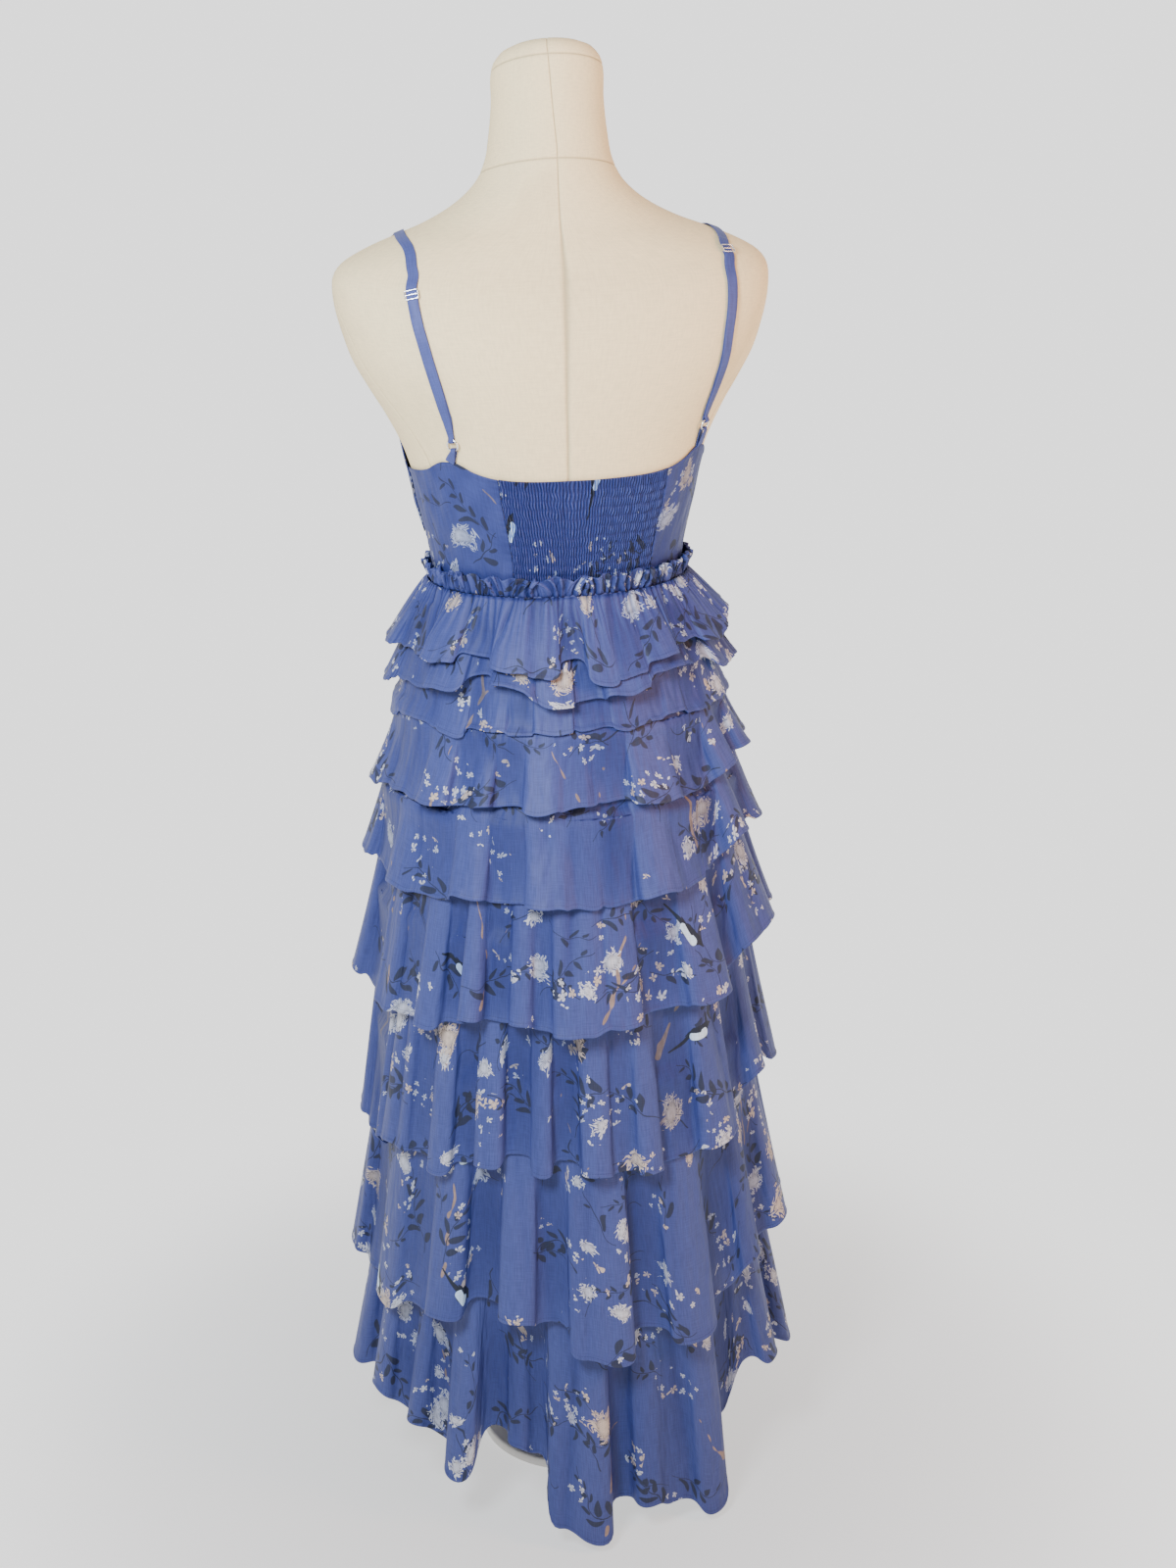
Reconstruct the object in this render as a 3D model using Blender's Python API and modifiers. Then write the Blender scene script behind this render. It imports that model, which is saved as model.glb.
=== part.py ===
# Tiered ruffle midi dress with thin straps, on a limbless dress form with a plain stand.
# Metres, +Z up. The origin is on the floor under the form's pole.
# The dress faces -Y, so its back is at +Y and the wearer's left is at +X.
# A turn is an angle in degrees round the body, 0 at the back's middle, growing
# counterclockwise seen from above, so +90 is the wearer's right side.
import bpy
import bmesh
import math
import numpy as np
from mathutils import Vector

# Driving sizes
WAIST_Z = 0.973
CLOTH = 0.0012
BODY_GAP = 0.0009
SEAM_GAP_DEG = 0.10
SEAT_GAP = 0.0004
LAYER_STEP = 0.0036
SLANTED_WALL = 1.6 * CLOTH
ABOVE_SEAM = 0.030
BELOW_HEM = 0.006
COLUMN_STEP = 5.5
NEAR_TURNS = (-4.4, -2.2, 0.0, 2.2, 4.4)
DRESS_TURN = 6.5
SMOCK_HALF_DEG = 33.0
SIDE_SEAM_DEG = 97.0
MIDRIFF_HEIGHT = 0.0445
SEAM_LIFT = 0.0004
HEADING_HEIGHT = 0.016
HEADING_WAVES = 32
HEADING_SWING = 0.0026
HEADING_FLARE = 0.0040
HEADING_GAP = 0.0006
CUP_LIFT = 0.006
CUP_EASE = 0.0014
SMOCK_ROWS = 12
SMOCK_PUCKERS = 17
SMOCK_RELIEF = 0.0013
SMOCK_GROOVE = 0.55
SMOCK_STRIDE = 6
POLE_RADIUS = 0.0125
BASE_RADIUS = 0.100
BASE_THICKNESS = 0.012
TOUCH = 0.0003
TAPE_WIDTH = 0.010
TAPE_THICKNESS = 0.0009
TAPE_WIDTH_AT_RING = 0.0046
RING_RADIUS = 0.0052
RING_WIRE = 0.0008
RING_TURN_RADIUS = 0.0023
RING_HEIGHT = 0.0037
UNDER_LAYER = 0.0014
OVER_LAYER = 0.0030
RISE_START = 0.015
RISE_LENGTH = 0.010
UNDER_LAYER_START = 0.09
STRAP_STEPS = 26
UNDER_STEPS = 8
BACK_SHARE = 0.55
SLIDER = {"half_wide": 0.0066, "half_long": 0.0046, "bar": 0.0012}

# The form's cross-sections, heights from the waist. A section is a rounded oval:
# half width, depth to the back, depth to the front, squareness (2 is an ellipse),
# shift along Y and rise towards the back for each metre of Y.
FORM_COLUMNS = ("height", "half_width", "back", "front", "square", "shift", "tilt")
FORM_ROWS = (
    (-0.250, 0.1500, 0.1120, 0.1000, 2.20, 0.000, 0.00),
    (-0.200, 0.1560, 0.1160, 0.1030, 2.20, 0.000, 0.00),
    (-0.120, 0.1460, 0.1080, 0.0980, 2.20, 0.000, 0.00),
    (-0.060, 0.1300, 0.0960, 0.0920, 2.10, 0.000, 0.00),
    (-0.020, 0.1205, 0.0890, 0.0885, 2.05, 0.000, 0.00),
    (0.000, 0.1190, 0.0880, 0.0880, 2.00, 0.000, 0.00),
    (0.030, 0.1215, 0.0890, 0.0930, 2.00, 0.000, 0.00),
    (0.070, 0.1300, 0.0930, 0.1040, 2.10, 0.000, 0.00),
    (0.100, 0.1360, 0.0960, 0.1120, 2.20, 0.000, 0.00),
    (0.130, 0.1455, 0.0990, 0.1160, 2.20, 0.000, 0.00),
    (0.160, 0.1600, 0.1020, 0.1150, 2.20, 0.000, 0.00),
    (0.185, 0.1745, 0.1040, 0.1110, 2.25, 0.000, 0.00),
    (0.210, 0.1880, 0.1045, 0.1040, 2.30, 0.000, 0.00),
    (0.235, 0.1965, 0.1020, 0.0950, 2.35, 0.000, 0.00),
    (0.260, 0.2025, 0.0960, 0.0860, 2.40, -0.001, 0.00),
    (0.278, 0.2040, 0.0890, 0.0790, 2.40, -0.002, 0.00),
    (0.298, 0.1950, 0.0780, 0.0700, 2.30, -0.003, 0.00),
    (0.312, 0.1700, 0.0715, 0.0650, 2.20, -0.004, 0.00),
    (0.322, 0.1445, 0.0670, 0.0610, 2.10, -0.005, 0.00),
    (0.331, 0.1205, 0.0630, 0.0580, 2.00, -0.006, 0.00),
    (0.345, 0.0930, 0.0590, 0.0545, 2.00, -0.007, 0.00),
    (0.364, 0.0700, 0.0560, 0.0525, 2.00, -0.008, 0.00),
    (0.384, 0.0590, 0.0540, 0.0515, 2.00, -0.009, 0.00),
    (0.405, 0.0548, 0.0525, 0.0510, 2.00, -0.010, 0.03),
    (0.436, 0.0514, 0.0505, 0.0500, 2.00, -0.010, 0.18),
    (0.465, 0.0503, 0.0500, 0.0500, 2.00, -0.010, 0.35),
    (0.473, 0.0465, 0.0465, 0.0465, 2.00, -0.010, 0.35),
    (0.480, 0.0370, 0.0370, 0.0370, 2.00, -0.010, 0.35),
    (0.484, 0.0200, 0.0200, 0.0200, 2.00, -0.010, 0.35),
)
FORM_COLUMNS_ROUND = 32
BASE_COLUMNS = 30
# Heights where the form's mesh has a ring besides the table's, under the fitted bodice.
FORM_EXTRA_RINGS = (0.015, 0.050, 0.085, 0.115, 0.145)
BUST = {"turn": 36.0, "height": 0.125, "spread_deg": 25.0, "spread_height": 0.050, "fullness": 0.020}

# Outer half width of the foundation skirt, where each ruffle is sewn on.
SEAT_COLUMNS = ("height", "half_width")
SEAT_ROWS = (
    (-0.660, 0.1900),
    (-0.470, 0.1842),
    (-0.320, 0.1762),
    (-0.200, 0.1642),
    (-0.120, 0.1512),
    (-0.070, 0.1382),
    (-0.045, 0.1317),
    (-0.020, 0.1258),
    (0.000, 0.1213),
)
# Depth of the skirt's sections over their width, by height.
ROUND_COLUMNS = ("height", "depth_over_width")
ROUND_ROWS = (
    (-0.97, 1.00),
    (-0.75, 1.00),
    (-0.55, 0.98),
    (-0.40, 0.96),
    (-0.27, 0.93),
    (-0.19, 0.90),
    (-0.10, 0.86),
    (-0.05, 0.82),
    (0.00, 0.765),
    (0.05, 0.76),
)

# Ruffle tiers: where each is sewn on, its hem's half width in a valley and on a crest,
# how late it flares (1 is a straight cone), its waves round the front, and its rows.
TIER_COLUMNS = ("top", "valley", "crest", "flare", "front_waves", "segments")
TIERS = (
    (-0.001, 0.1500, 0.1705, 1.00, 7, 2),
    (-0.020, 0.1520, 0.1735, 1.20, 7, 2),
    (-0.045, 0.1520, 0.1670, 1.20, 7, 2),
    (-0.070, 0.1680, 0.1910, 1.60, 7, 2),
    (-0.120, 0.1780, 0.2020, 1.60, 7, 2),
    (-0.200, 0.1920, 0.2190, 1.50, 8, 2),
    (-0.320, 0.1940, 0.2195, 1.50, 8, 3),
    (-0.470, 0.2050, 0.2345, 1.50, 8, 3),
    (-0.640, 0.2000, 0.2385, 1.50, 8, 3),
)
# Folds of each hem over the back: turn, reach (0 valley, 1 crest), height from the waist in mm.
FOLD_COLUMNS = ("turn", "reach", "hem_mm")
FOLDS = (
    ((-100, 1.0, -62), (-72, 0.2, -61), (-50, 0.9, -59), (-40, 0.1, -50), (-22, 1.0, -60),
     (-11, 0.9, -67), (-3, 0.0, -52), (7, 1.0, -75), (17, 0.45, -70), (29, 0.85, -58),
     (45, 0.15, -52), (58, 1.0, -57), (78, 0.8, -42)),
    ((-100, 1.0, -100), (-70, 0.4, -91), (-45, 1.0, -82), (-36, 0.1, -68), (-26, 0.8, -74),
     (-8, 1.0, -93), (2, 0.3, -90), (12, 1.0, -85), (34, 0.5, -71), (54, 0.1, -76),
     (64, 0.9, -88), (80, 1.0, -86)),
    ((-100, 1.0, -135), (-62, 0.5, -122), (-44, 1.0, -128), (-38, 0.1, -118), (-30, 0.8, -119),
     (-22, 0.4, -121), (-12, 1.0, -119), (5, 0.2, -116), (15, 0.7, -120), (34, 0.7, -115),
     (47, 0.2, -120), (57, 0.9, -119), (76, 1.0, -119)),
    ((-103, 1.0, -205), (-66, 0.5, -196), (-48, 1.0, -191), (-40, 0.5, -190), (-33, 0.9, -187),
     (-26, 0.2, -187), (-14, 1.0, -189), (-3, 0.6, -186), (9, 0.2, -185), (19, 1.0, -188),
     (42, 0.3, -193), (52, 1.0, -177), (60, 0.4, -174), (68, 1.0, -170)),
    ((-105, 1.0, -285), (-80, 0.3, -286), (-62, 0.9, -284), (-50, 0.4, -286), (-36, 0.9, -274),
     (-26, 0.2, -280), (-13, 1.0, -278), (-2, 0.6, -282), (8, 0.2, -284), (20, 1.0, -275),
     (34, 0.6, -277), (43, 0.1, -271), (54, 1.0, -245), (62, 0.4, -245), (72, 1.0, -249)),
    ((-100, 1.0, -413), (-84, 0.2, -420), (-68, 0.8, -415), (-58, 0.4, -412), (-48, 1.0, -411),
     (-41, 0.2, -405), (-35, 1.0, -391), (-28, 0.1, -397), (-20, 0.8, -393), (-15, 0.4, -400),
     (-9, 1.0, -402), (8, 0.9, -398), (17, 0.1, -395), (36, 1.0, -391), (46, 0.1, -380),
     (54, 0.8, -356), (64, 1.0, -349)),
    ((-103, 1.0, -580), (-88, 0.2, -590), (-62, 0.9, -560), (-54, 0.4, -560), (-45, 1.0, -566),
     (-39, 0.1, -552), (-31, 1.0, -546), (-22, 0.05, -534), (-16, 1.0, -551), (-10, 0.1, -541),
     (-1, 1.0, -551), (7, 0.5, -554), (13, 1.0, -556), (22, 0.1, -556), (38, 1.0, -549),
     (50, 0.1, -525), (58, 0.8, -503), (65, 0.3, -505), (73, 1.0, -517)),
    ((-98, 1.0, -735), (-84, 0.2, -745), (-66, 0.8, -745), (-56, 0.4, -730), (-43, 1.0, -721),
     (-33, 0.0, -700), (-23, 1.0, -705), (-13, 0.3, -712), (-6, 0.9, -746), (4, 1.0, -755),
     (11, 0.1, -730), (24, 1.0, -750), (40, 0.1, -725), (49, 0.7, -700), (57, 0.3, -698),
     (66, 1.0, -688)),
    ((-90, 1.0, -864), (-80, 0.3, -862), (-69, 1.0, -852), (-62, 0.4, -868), (-55, 0.8, -864),
     (-49, 0.3, -880), (-40, 1.0, -905), (-31, 0.05, -850), (-24, 0.5, -862), (-19, 0.2, -872),
     (-13, 0.9, -944), (-2, 1.0, -962), (4, 0.2, -930), (11, 0.7, -934), (19, 0.5, -942),
     (31, 1.0, -963), (41, 0.1, -880), (48, 0.3, -828), (57, 0.9, -838), (67, 0.3, -850),
     (77, 1.0, -862)),
)

# The bodice's top edge: turn from the dress's middle, height from the waist.
EDGE_COLUMNS = ("turn", "height")
BACK_EDGE = (
    (0, 0.1090),
    (33, 0.1120),
    (43, 0.1180),
    (50, 0.1258),
    (56, 0.1262),
    (70, 0.1160),
    (97, 0.1080),
)
CUP_EDGE = (
    (97, 0.1080),
    (106, 0.1150),
    (120, 0.1450),
    (133, 0.1900),
    (137, 0.2000),
    (142, 0.1980),
    (155, 0.1550),
    (168, 0.1150),
    (180, 0.0850),
)

# The straps' routes on the form, from the front over the shoulder to the ring.
ROUTE_COLUMNS = ("turn", "height")
STRAP_ROUTES = {
    "left": ((-131, 0.2035), (-135, 0.2400), (-136, 0.2800), (-120, 0.3155), (-90, 0.3237),
             (-58, 0.3165), (-42, 0.3000), (-38.6, 0.2786), (-37.8, 0.2166), (-41.5, 0.1520)),
    "right": ((144, 0.2035), (147, 0.2400), (143, 0.2800), (122, 0.3110), (90, 0.3188),
              (62, 0.3110), (51, 0.2990), (46, 0.2800), (46.9, 0.2307), (53.5, 0.1570)),
}
SLIDER_HEIGHTS = {"left": 0.2786, "right": 0.3030}
RING_PLACES = {"left": (-42.0, 0.1445), "right": (55.0, 0.1490)}
TAB_TURNS = {"left": -46.5, "right": 59.5}

BLUE = (0.165, 0.225, 0.560)
LINEN = (0.720, 0.640, 0.500)
STEEL = (0.600, 0.600, 0.620)
STAND = (0.780, 0.760, 0.720)


def clear_scene():
    for thing in list(bpy.data.objects):
        bpy.data.objects.remove(thing, do_unlink=True)


def make_material(name, colour, roughness, metallic):
    material = bpy.data.materials.new(name)
    material.use_nodes = True
    shader = material.node_tree.nodes["Principled BSDF"]
    shader.inputs["Base Color"].default_value = (*colour, 1.0)
    shader.inputs["Roughness"].default_value = roughness
    shader.inputs["Metallic"].default_value = metallic
    return material


def add_object(name, mesh, material):
    thing = bpy.data.objects.new(name, mesh)
    mesh.materials.append(material)
    dress_parts.objects.link(thing)
    return thing


def smooth_read(columns, rows, name, at):
    """A named column's value, on a smooth curve through a table whose first column grows."""
    column = columns.index(name)
    keys = np.array([row[0] for row in rows], float)
    values = np.array([row[column] for row in rows], float)
    steps = np.diff(values) / np.diff(keys)
    slopes = np.concatenate((steps[:1], (steps[1:] + steps[:-1]) / 2, steps[-1:]))
    slopes[1:-1][steps[1:] * steps[:-1] <= 0] = 0.0
    at = np.clip(at, keys[0], keys[-1])
    cell = np.clip(np.searchsorted(keys, at) - 1, 0, len(keys) - 2)
    width = keys[cell + 1] - keys[cell]
    t = (at - keys[cell]) / width
    return (values[cell] * (1 + 2 * t) * (1 - t) ** 2 + width * slopes[cell] * t * (1 - t) ** 2
            + values[cell + 1] * t * t * (3 - 2 * t) + width * slopes[cell + 1] * t * t * (t - 1))


def turn_apart(turn, middle):
    return (turn - middle + 180.0) % 360.0 - 180.0


def bust_fullness(turn, height):
    rise = math.exp(-((height - BUST["height"]) / BUST["spread_height"]) ** 2)
    swell = sum(math.exp(-(turn_apart(turn, 180.0 + side * BUST["turn"]) / BUST["spread_deg"]) ** 2)
                for side in (-1, 1))
    return BUST["fullness"] * rise * swell


def body_point(turn, height, out=0.0):
    """A point on the form's skin, moved outward level by out."""
    half_width, back, front, square, shift, tilt = (
        smooth_read(FORM_COLUMNS, FORM_ROWS, name, height) for name in FORM_COLUMNS[1:])
    angle = math.radians(turn)
    sine, cosine = math.sin(angle), math.cos(angle)
    grow = out + bust_fullness(turn, height)
    depth = (back if cosine > 0 else front) + grow
    x = -math.copysign(abs(sine) ** (2 / square), sine) * (half_width + grow)
    y = math.copysign(abs(cosine) ** (2 / square), cosine) * depth
    return Vector((x, y + shift, WAIST_Z + height + tilt * y))


def body_normal(turn, height):
    step = 0.5
    along = body_point(turn + step, height) - body_point(turn - step, height)
    up = body_point(turn, height + 0.002) - body_point(turn, height - 0.002)
    return along.cross(up).normalized()


def above_body(turn, height, out):
    """A point at the distance out from the form's skin, square to it."""
    return body_point(turn, height) + body_normal(turn, height) * out


def skirt_point(turn, height, half_width):
    angle = math.radians(turn)
    depth = half_width * smooth_read(ROUND_COLUMNS, ROUND_ROWS, "depth_over_width", height)
    return Vector((-half_width * math.sin(angle), depth * math.cos(angle), WAIST_Z + height))


def grid_mesh(name, rows, closed):
    """A mesh from rows of points, bottom row first, each row counterclockwise from above."""
    count = len(rows[0])
    points = [point for row in rows for point in row]
    last = count if closed else count - 1
    faces = []
    for i in range(len(rows) - 1):
        for j in range(last):
            k = (j + 1) % count
            faces.append((i * count + j, i * count + k, (i + 1) * count + k, (i + 1) * count + j))
    mesh = bpy.data.meshes.new(name)
    mesh.from_pydata(points, [], faces)
    mesh.update()
    return mesh


def cloth_wall(name, rows, material, closed=False):
    """A wall of cloth whose outer face goes through the rows."""
    mesh = grid_mesh(name, rows, closed)
    mesh.shade_smooth()
    thing = add_object(name, mesh, material)
    solidify = thing.modifiers.new("wall", "SOLIDIFY")
    solidify.thickness = CLOTH
    solidify.offset = -1.0
    solidify.use_even_offset = True
    solidify.use_quality_normals = True
    return thing


def seat_width(height):
    return smooth_read(SEAT_COLUMNS, SEAT_ROWS, "half_width", height)


def tier_folds(number, tier):
    """The folds round a whole hem: the table's over the back, even ones round the front."""
    folds = [dict(zip(FOLD_COLUMNS, fold)) for fold in FOLDS[number]]
    chance = np.random.default_rng(100 + number)
    first, last = folds[0], folds[-1]
    span = first["turn"] + 360.0 - last["turn"]
    steps = 2 * tier["front_waves"]
    for step in range(1, steps):
        share = step / steps
        shift = chance.uniform(-0.16, 0.16) * span / steps
        reach = chance.uniform(0.82, 1.0) if step % 2 == 0 else chance.uniform(0.05, 0.28)
        hem = last["hem_mm"] + (first["hem_mm"] - last["hem_mm"]) * share + chance.uniform(-5.0, 5.0)
        folds.append({"turn": last["turn"] + span * share + shift, "reach": reach, "hem_mm": hem})
    return folds + [dict(first, turn=first["turn"] + 360.0)]


def fold_turns(folds):
    """Each fold's turn, with even steps of about COLUMN_STEP between it and the next."""
    turns = []
    for fold, following in zip(folds, folds[1:]):
        span = following["turn"] - fold["turn"]
        steps = max(1, round(span / COLUMN_STEP))
        turns += [fold["turn"] + span * k / steps for k in range(steps)]
    return turns


def read_fold(folds, turn):
    """Reach and hem height at a turn, eased from fold to fold."""
    cell = max(k for k in range(len(folds) - 1) if folds[k]["turn"] <= turn)
    fold, following = folds[cell], folds[cell + 1]
    share = (turn - fold["turn"]) / (following["turn"] - fold["turn"])
    ease = (1 - math.cos(math.pi * share)) / 2
    reach = fold["reach"] + (following["reach"] - fold["reach"]) * ease
    hem_mm = fold["hem_mm"] + (following["hem_mm"] - fold["hem_mm"]) * ease
    return reach, hem_mm / 1000.0


def ruffle_plan(number, under):
    """A ruffle's turns, hem heights and outer half widths, resting on the ruffle under it."""
    tier = dict(zip(TIER_COLUMNS, TIERS[number]))
    top, valley, crest = tier["top"], tier["valley"], tier["crest"]
    folds = tier_folds(number, tier)
    turns = fold_turns(folds)
    start = seat_width(top) + CLOTH + SEAT_GAP
    hems, widths = [], []
    for turn in turns:
        reach, hem = read_fold(folds, turn)
        hems.append(hem)
        column = []
        for step in range(tier["segments"] + 1):
            share = step / tier["segments"]
            height = top + (hem - top) * share
            width = start + (valley + (crest - valley) * reach - start) * share ** tier["flare"]
            width = max(width, seat_width(height) + SLANTED_WALL + SEAT_GAP)
            if under and step:
                near = [plan_width(under, turn + aside, height) for aside in NEAR_TURNS]
                width = max(width, max(near) + LAYER_STEP)
            column.append(width)
        widths.append(column)
    return {"top": top, "turns": turns, "hems": np.array(hems), "widths": np.array(widths)}


def plan_width(plan, turn, height):
    """A planned ruffle's half width at a turn and height, 0 where it doesn't reach."""
    hem = np.interp(turn, plan["turns"], plan["hems"], period=360)
    if height > plan["top"] + ABOVE_SEAM or height < hem - BELOW_HEM:
        return 0.0
    if height > plan["top"]:
        return seat_width(height) + CLOTH + SEAT_GAP
    share = min(1.0, (plan["top"] - height) / (plan["top"] - hem))
    rows = plan["widths"].shape[1]
    column = [np.interp(turn, plan["turns"], plan["widths"][:, k], period=360) for k in range(rows)]
    return float(np.interp(share, np.linspace(0.0, 1.0, rows), column))


def make_ruffle(number, plan, material):
    rows = []
    last = plan["widths"].shape[1] - 1
    for step in range(last, -1, -1):
        heights = plan["top"] + (plan["hems"] - plan["top"]) * step / last
        rows.append([skirt_point(turn, height, width) for turn, height, width
                     in zip(plan["turns"], heights, plan["widths"][:, step])])
    return cloth_wall("ruffle_%d" % (number + 1), rows, material, closed=True)


def make_skirt_base(material):
    rows = []
    for height, half_width in SEAT_ROWS:
        height = min(height, -SEAM_LIFT)
        rows.append([skirt_point(360.0 * j / BASE_COLUMNS, height, half_width) for j in range(BASE_COLUMNS)])
    return cloth_wall("skirt_base", rows, material, closed=True)


def make_heading(material):
    """The gathered upright edge of the top ruffle, in small even waves."""
    per_wave = 4
    columns = HEADING_WAVES * per_wave
    rows = []
    for share in (0.0, 1.0):
        row = []
        for j in range(columns):
            turn = 360.0 * j / columns
            wave = 0.5 + 0.5 * math.cos(2 * math.pi * j / per_wave)
            out = BODY_GAP + 2 * CLOTH + HEADING_GAP + share * (HEADING_FLARE + 2 * HEADING_SWING * wave)
            row.append(body_point(turn, SEAM_LIFT + share * HEADING_HEIGHT, out))
        rows.append(row)
    return cloth_wall("waist_heading", rows, material, closed=True)


def panel_rows(first, last, low, high, columns, segments, lift):
    """Rows of a bodice panel between two turns from the dress's middle."""
    rows = []
    for i in range(segments + 1):
        v = i / segments
        row = []
        for j in range(columns + 1):
            u = j / columns
            turn = first + (last - first) * u
            bottom, top = low(turn), high(turn)
            out = BODY_GAP + CLOTH + lift(u, v)
            row.append(body_point(turn + DRESS_TURN, bottom + (top - bottom) * v, out))
        rows.append(row)
    return rows


def back_edge(turn):
    return smooth_read(EDGE_COLUMNS, BACK_EDGE, "height", abs(turn))


def cup_edge(turn):
    return smooth_read(EDGE_COLUMNS, CUP_EDGE, "height", abs(turn_apart(turn, 0.0)))


def flat(u, v):
    return 0.0


def waist_line(turn):
    return SEAM_LIFT


def midriff_top(turn):
    return MIDRIFF_HEIGHT - SEAM_LIFT


def cup_bottom(turn):
    return MIDRIFF_HEIGHT + SEAM_LIFT


def cup_swell(u, v):
    return CUP_EASE + CUP_LIFT * math.sin(math.pi * u) * math.sin(math.pi * min(1.0, v * 1.15)) ** 0.8


def make_bodice(material):
    gap = SEAM_GAP_DEG
    side, smock = SIDE_SEAM_DEG, SMOCK_HALF_DEG
    panels = (
        ("back_side_left", -side + gap, -smock - gap, waist_line, back_edge, 9, 5, flat),
        ("back_side_right", smock + gap, side - gap, waist_line, back_edge, 9, 5, flat),
        ("front_midriff", side + gap, 360 - side - gap, waist_line, midriff_top, 20, 2, flat),
        ("front_cup_right", side + gap, 180 - gap, cup_bottom, cup_edge, 14, 8, cup_swell),
        ("front_cup_left", 180 + gap, 360 - side - gap, cup_bottom, cup_edge, 14, 8, cup_swell),
    )
    for name, first, last, low, high, columns, segments, lift in panels:
        cloth_wall(name, panel_rows(first, last, low, high, columns, segments, lift), material)


def smock_relief(column, row):
    """Height of a pucker: ribs between the shirring rows, shifted by half a rib in turn."""
    on_row = row % 2 == 0
    shifted = (row // 2) % 2
    on_rib = (column + shifted) % 2 == 0
    if on_row:
        return 0.0
    return SMOCK_RELIEF if on_rib else SMOCK_RELIEF * SMOCK_GROOVE


def make_smocked_panel(material):
    """Puckers raised in the outer points over a plain inside."""
    columns, segments, stride = 2 * SMOCK_PUCKERS, 2 * SMOCK_ROWS, SMOCK_STRIDE
    first, last = -SMOCK_HALF_DEG + SEAM_GAP_DEG, SMOCK_HALF_DEG - SEAM_GAP_DEG
    outer, inner = [], []
    for i in range(segments + 1):
        v = i / segments
        outer_row, inner_row = [], []
        for j in range(columns + 1):
            turn = first + (last - first) * j / columns
            height = SEAM_LIFT + (back_edge(turn) - SEAM_LIFT) * v
            out = BODY_GAP + CLOTH
            inner_row.append(body_point(turn + DRESS_TURN, height, out - CLOTH))
            outer_row.append(body_point(turn + DRESS_TURN, height, out + smock_relief(j, i)))
        outer.append(outer_row)
        inner.append(inner_row)
    build = bmesh.new()
    outside = [[build.verts.new(point) for point in row] for row in outer]
    inside = {i: [build.verts.new(point) for point in inner[i]] for i in range(0, segments + 1, stride)}
    for i in range(segments):
        for j in range(columns):
            build.faces.new((outside[i][j], outside[i][j + 1], outside[i + 1][j + 1], outside[i + 1][j]))
    for i in range(0, segments, stride):
        for j in range(columns):
            build.faces.new((inside[i][j], inside[i + stride][j],
                             inside[i + stride][j + 1], inside[i][j + 1]))
        for j, order in ((0, 1), (columns, -1)):
            edge = [outside[k][j] for k in range(i, i + stride + 1)]
            loop = edge + [inside[i + stride][j], inside[i][j]]
            build.faces.new(loop if order > 0 else loop[::-1])
    for j in range(columns):
        build.faces.new((outside[0][j + 1], outside[0][j], inside[0][j], inside[0][j + 1]))
        build.faces.new((outside[segments][j], outside[segments][j + 1],
                         inside[segments][j + 1], inside[segments][j]))
    bmesh.ops.recalc_face_normals(build, faces=build.faces)
    mesh = bpy.data.meshes.new("back_smocked")
    build.to_mesh(mesh)
    build.free()
    add_object("back_smocked", mesh, material)


def make_form(material):
    """The form's skin as one closed body: sections lofted from the bottom to the cap."""
    rows = []
    for height in sorted([row[0] for row in FORM_ROWS] + list(FORM_EXTRA_RINGS)):
        rows.append([body_point(360.0 * j / FORM_COLUMNS_ROUND, height) for j in range(FORM_COLUMNS_ROUND)])
    mesh = grid_mesh("dress_form", rows, True)
    build = bmesh.new()
    build.from_mesh(mesh)
    build.verts.ensure_lookup_table()
    count = FORM_COLUMNS_ROUND
    build.faces.new([build.verts[j] for j in range(count - 1, -1, -1)])
    top = len(rows) - 1
    build.faces.new([build.verts[top * count + j] for j in range(count)])
    bmesh.ops.recalc_face_normals(build, faces=build.faces)
    build.to_mesh(mesh)
    build.free()
    mesh.shade_smooth()
    mesh.set_sharp_from_angle(angle=math.radians(50))
    return add_object("dress_form", mesh, material)


def make_stand(material):
    """A plain round base and a pole up into the form."""
    bpy.ops.mesh.primitive_cylinder_add(vertices=48, radius=BASE_RADIUS, depth=BASE_THICKNESS,
                                        location=(0, 0, BASE_THICKNESS / 2))
    base = bpy.context.object
    base.name = "stand_base"
    bottom = BASE_THICKNESS + TOUCH
    top = WAIST_Z + FORM_ROWS[0][0] - TOUCH
    bpy.ops.mesh.primitive_cylinder_add(vertices=20, radius=POLE_RADIUS, depth=top - bottom,
                                        location=(0, 0, (top + bottom) / 2))
    pole = bpy.context.object
    pole.name = "stand_pole"
    for thing in (base, pole):
        thing.data.materials.append(material)
        for home in list(thing.users_collection):
            home.objects.unlink(thing)
        dress_parts.objects.link(thing)


def tape_mesh(name, centres, normals, widths):
    """A flat tape along a path: a thin rectangle carried square to the path, ends closed."""
    build = bmesh.new()
    stations = []
    for index, centre in enumerate(centres):
        ahead = centres[min(index + 1, len(centres) - 1)] - centres[max(index - 1, 0)]
        along = ahead.normalized()
        side = along.cross(normals[index]).normalized()
        out = side.cross(along).normalized()
        half = side * widths[index] / 2
        rise = out * TAPE_THICKNESS / 2
        corners = (centre - half - rise, centre + half - rise, centre + half + rise, centre - half + rise)
        stations.append([build.verts.new(corner) for corner in corners])
    for near, far in zip(stations, stations[1:]):
        for k in range(4):
            build.faces.new((near[k], near[(k + 1) % 4], far[(k + 1) % 4], far[k]))
    build.faces.new(stations[0][::-1])
    build.faces.new(stations[-1])
    bmesh.ops.recalc_face_normals(build, faces=build.faces)
    mesh = bpy.data.meshes.new(name)
    build.to_mesh(mesh)
    build.free()
    return mesh


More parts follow.
